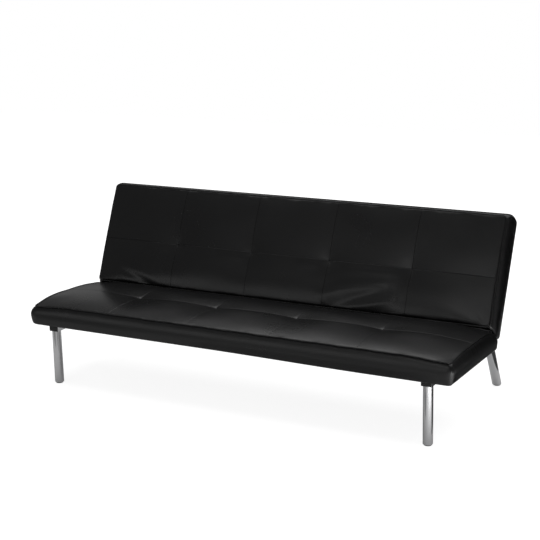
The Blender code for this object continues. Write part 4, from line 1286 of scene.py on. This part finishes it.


# Standing cards: dark shapes painted into the reflections of the right ends and the top edges.
add_flag("right_flag", [(1.40, 0.40, 0.0), (1.20, 2.6, 0.0), (1.20, 2.6, 1.0), (1.40, 0.40, 1.0)])
add_flag("rear_flag", [(-2.0, 3.6, 0.0), (1.6, 3.6, 0.0), (1.6, 3.6, 2.5), (-2.0, 3.6, 2.5)])
# Cards on the floor are painted shade: the sofa's shadow on the floor as mirrors see it. They are darkest behind
# the sofa and at the right, and grey in front.
REAR_SHADE_CORNERS = [(-3.0, 0.6), (-1.4, 0.6), (0.92, 1.3), (2.2, 4.0), (2.2, 5.5), (-5.0, 5.5)]
for name, height, tone, outline in (
    ("right_floor", 0.002, 0.08, [(0.93, -0.34), (1.45, -0.2), (1.20, 2.6), (0.93, 2.6)]),
    ("rear_floor", 0.003, 0.01, REAR_SHADE_CORNERS),
    ("front_floor", 0.002, 0.45, [(-3.6, -1.45), (0.50, -1.45), (0.50, -2.6), (-3.6, -2.6)]),
    ("left_floor", 0.002, 0.45, [(-3.0, -0.90), (-0.80, -0.90), (-0.50, -1.45), (-3.0, -1.45)]),
    ("near_floor", 0.002, 0.50, [(-0.40, -0.60), (0.30, -0.60), (0.30, -0.90), (-0.40, -0.90)]),
    ("corner_floor", 0.002, 0.42, [(0.30, -0.60), (0.66, -0.60), (0.66, -0.90), (0.30, -0.90)]),
):
    add_flag(f"{name}_flag", [(x, y, height) for x, y in outline], tone)

# %% World
world = bpy.data.worlds.new("studio_air")
bpy.context.scene.world = world
world.use_nodes = True
air = world.node_tree.nodes["Background"]
air.inputs["Color"].default_value = WHITE
paths = add_node(world, "ShaderNodeLightPath")
lift = add_node(world, "ShaderNodeMapRange", To_Min=0.15, To_Max=1.0)
wire(world, (paths, "Is Camera Ray", lift, "Value"), (lift, "Result", air, "Strength"))


# %% Lamps
def add_lamp(name, place, aim, size, power, spread=180):
    """A soft rectangular lamp that points at a spot, with its beam narrowed to an angle."""
    data = bpy.data.lights.new(name, "AREA")
    data.shape = "RECTANGLE"
    data.size, data.size_y = size
    data.energy = power
    data.spread = math.radians(spread)
    lamp = bpy.data.objects.new(name, data)
    lamp.location = place
    lamp.rotation_euler = (Vector(aim) - Vector(place)).to_track_quat("-Z", "Y").to_euler()
    lamp.visible_camera = False
    bpy.context.scene.collection.objects.link(lamp)


add_lamp("overhead", (0.5, 1.0, 3.3), (0.5, 0.8, 0.0), (5.6, 4.0), 82)
add_lamp("front", (0.2, -4.4, 2.3), (0.3, -0.4, 0.2), (2.2, 1.2), 8)
add_lamp("right_front", (2.4, -1.2, 2.2), (1.98, -1.0, 0.0), (0.9, 0.9), 30, 41)
add_lamp("low_left", (-2.6, -5.6, 0.75), (0.0, -0.4, 0.3), (4.6, 1.4), 13)
add_lamp("left_high", (-1.7, -3.8, 2.9), (0.2, 0.1, 0.55), (2.0, 1.2), 1.0)
add_lamp("left_rear", (-3.0, 3.6, 1.3), (-0.8, 0.0, 0.3), (2.4, 1.4), 1.8)

# %% Camera
CAMERA_PLACE = Vector((2.4839, -4.5079, 1.7400))
AZIMUTH, ELEVATION, ROLL = (math.radians(angle) for angle in (28.979, 13.809, -1.188))
FOCAL_LENGTH = 89.0
aimed = Matrix.Rotation(AZIMUTH, 4, "Z") @ Matrix.Rotation(math.pi / 2 - ELEVATION, 4, "X")
view = bpy.data.cameras.new("catalogue_view")
view.lens = FOCAL_LENGTH
view.sensor_width = 36.0
view.clip_end = 100.0
camera = bpy.data.objects.new("catalogue_view", view)
camera.matrix_world = Matrix.Translation(CAMERA_PLACE) @ aimed @ Matrix.Rotation(ROLL, 4, "Z")
bpy.context.scene.collection.objects.link(camera)
bpy.context.scene.camera = camera
bpy.context.scene.view_settings.view_transform = "Standard"
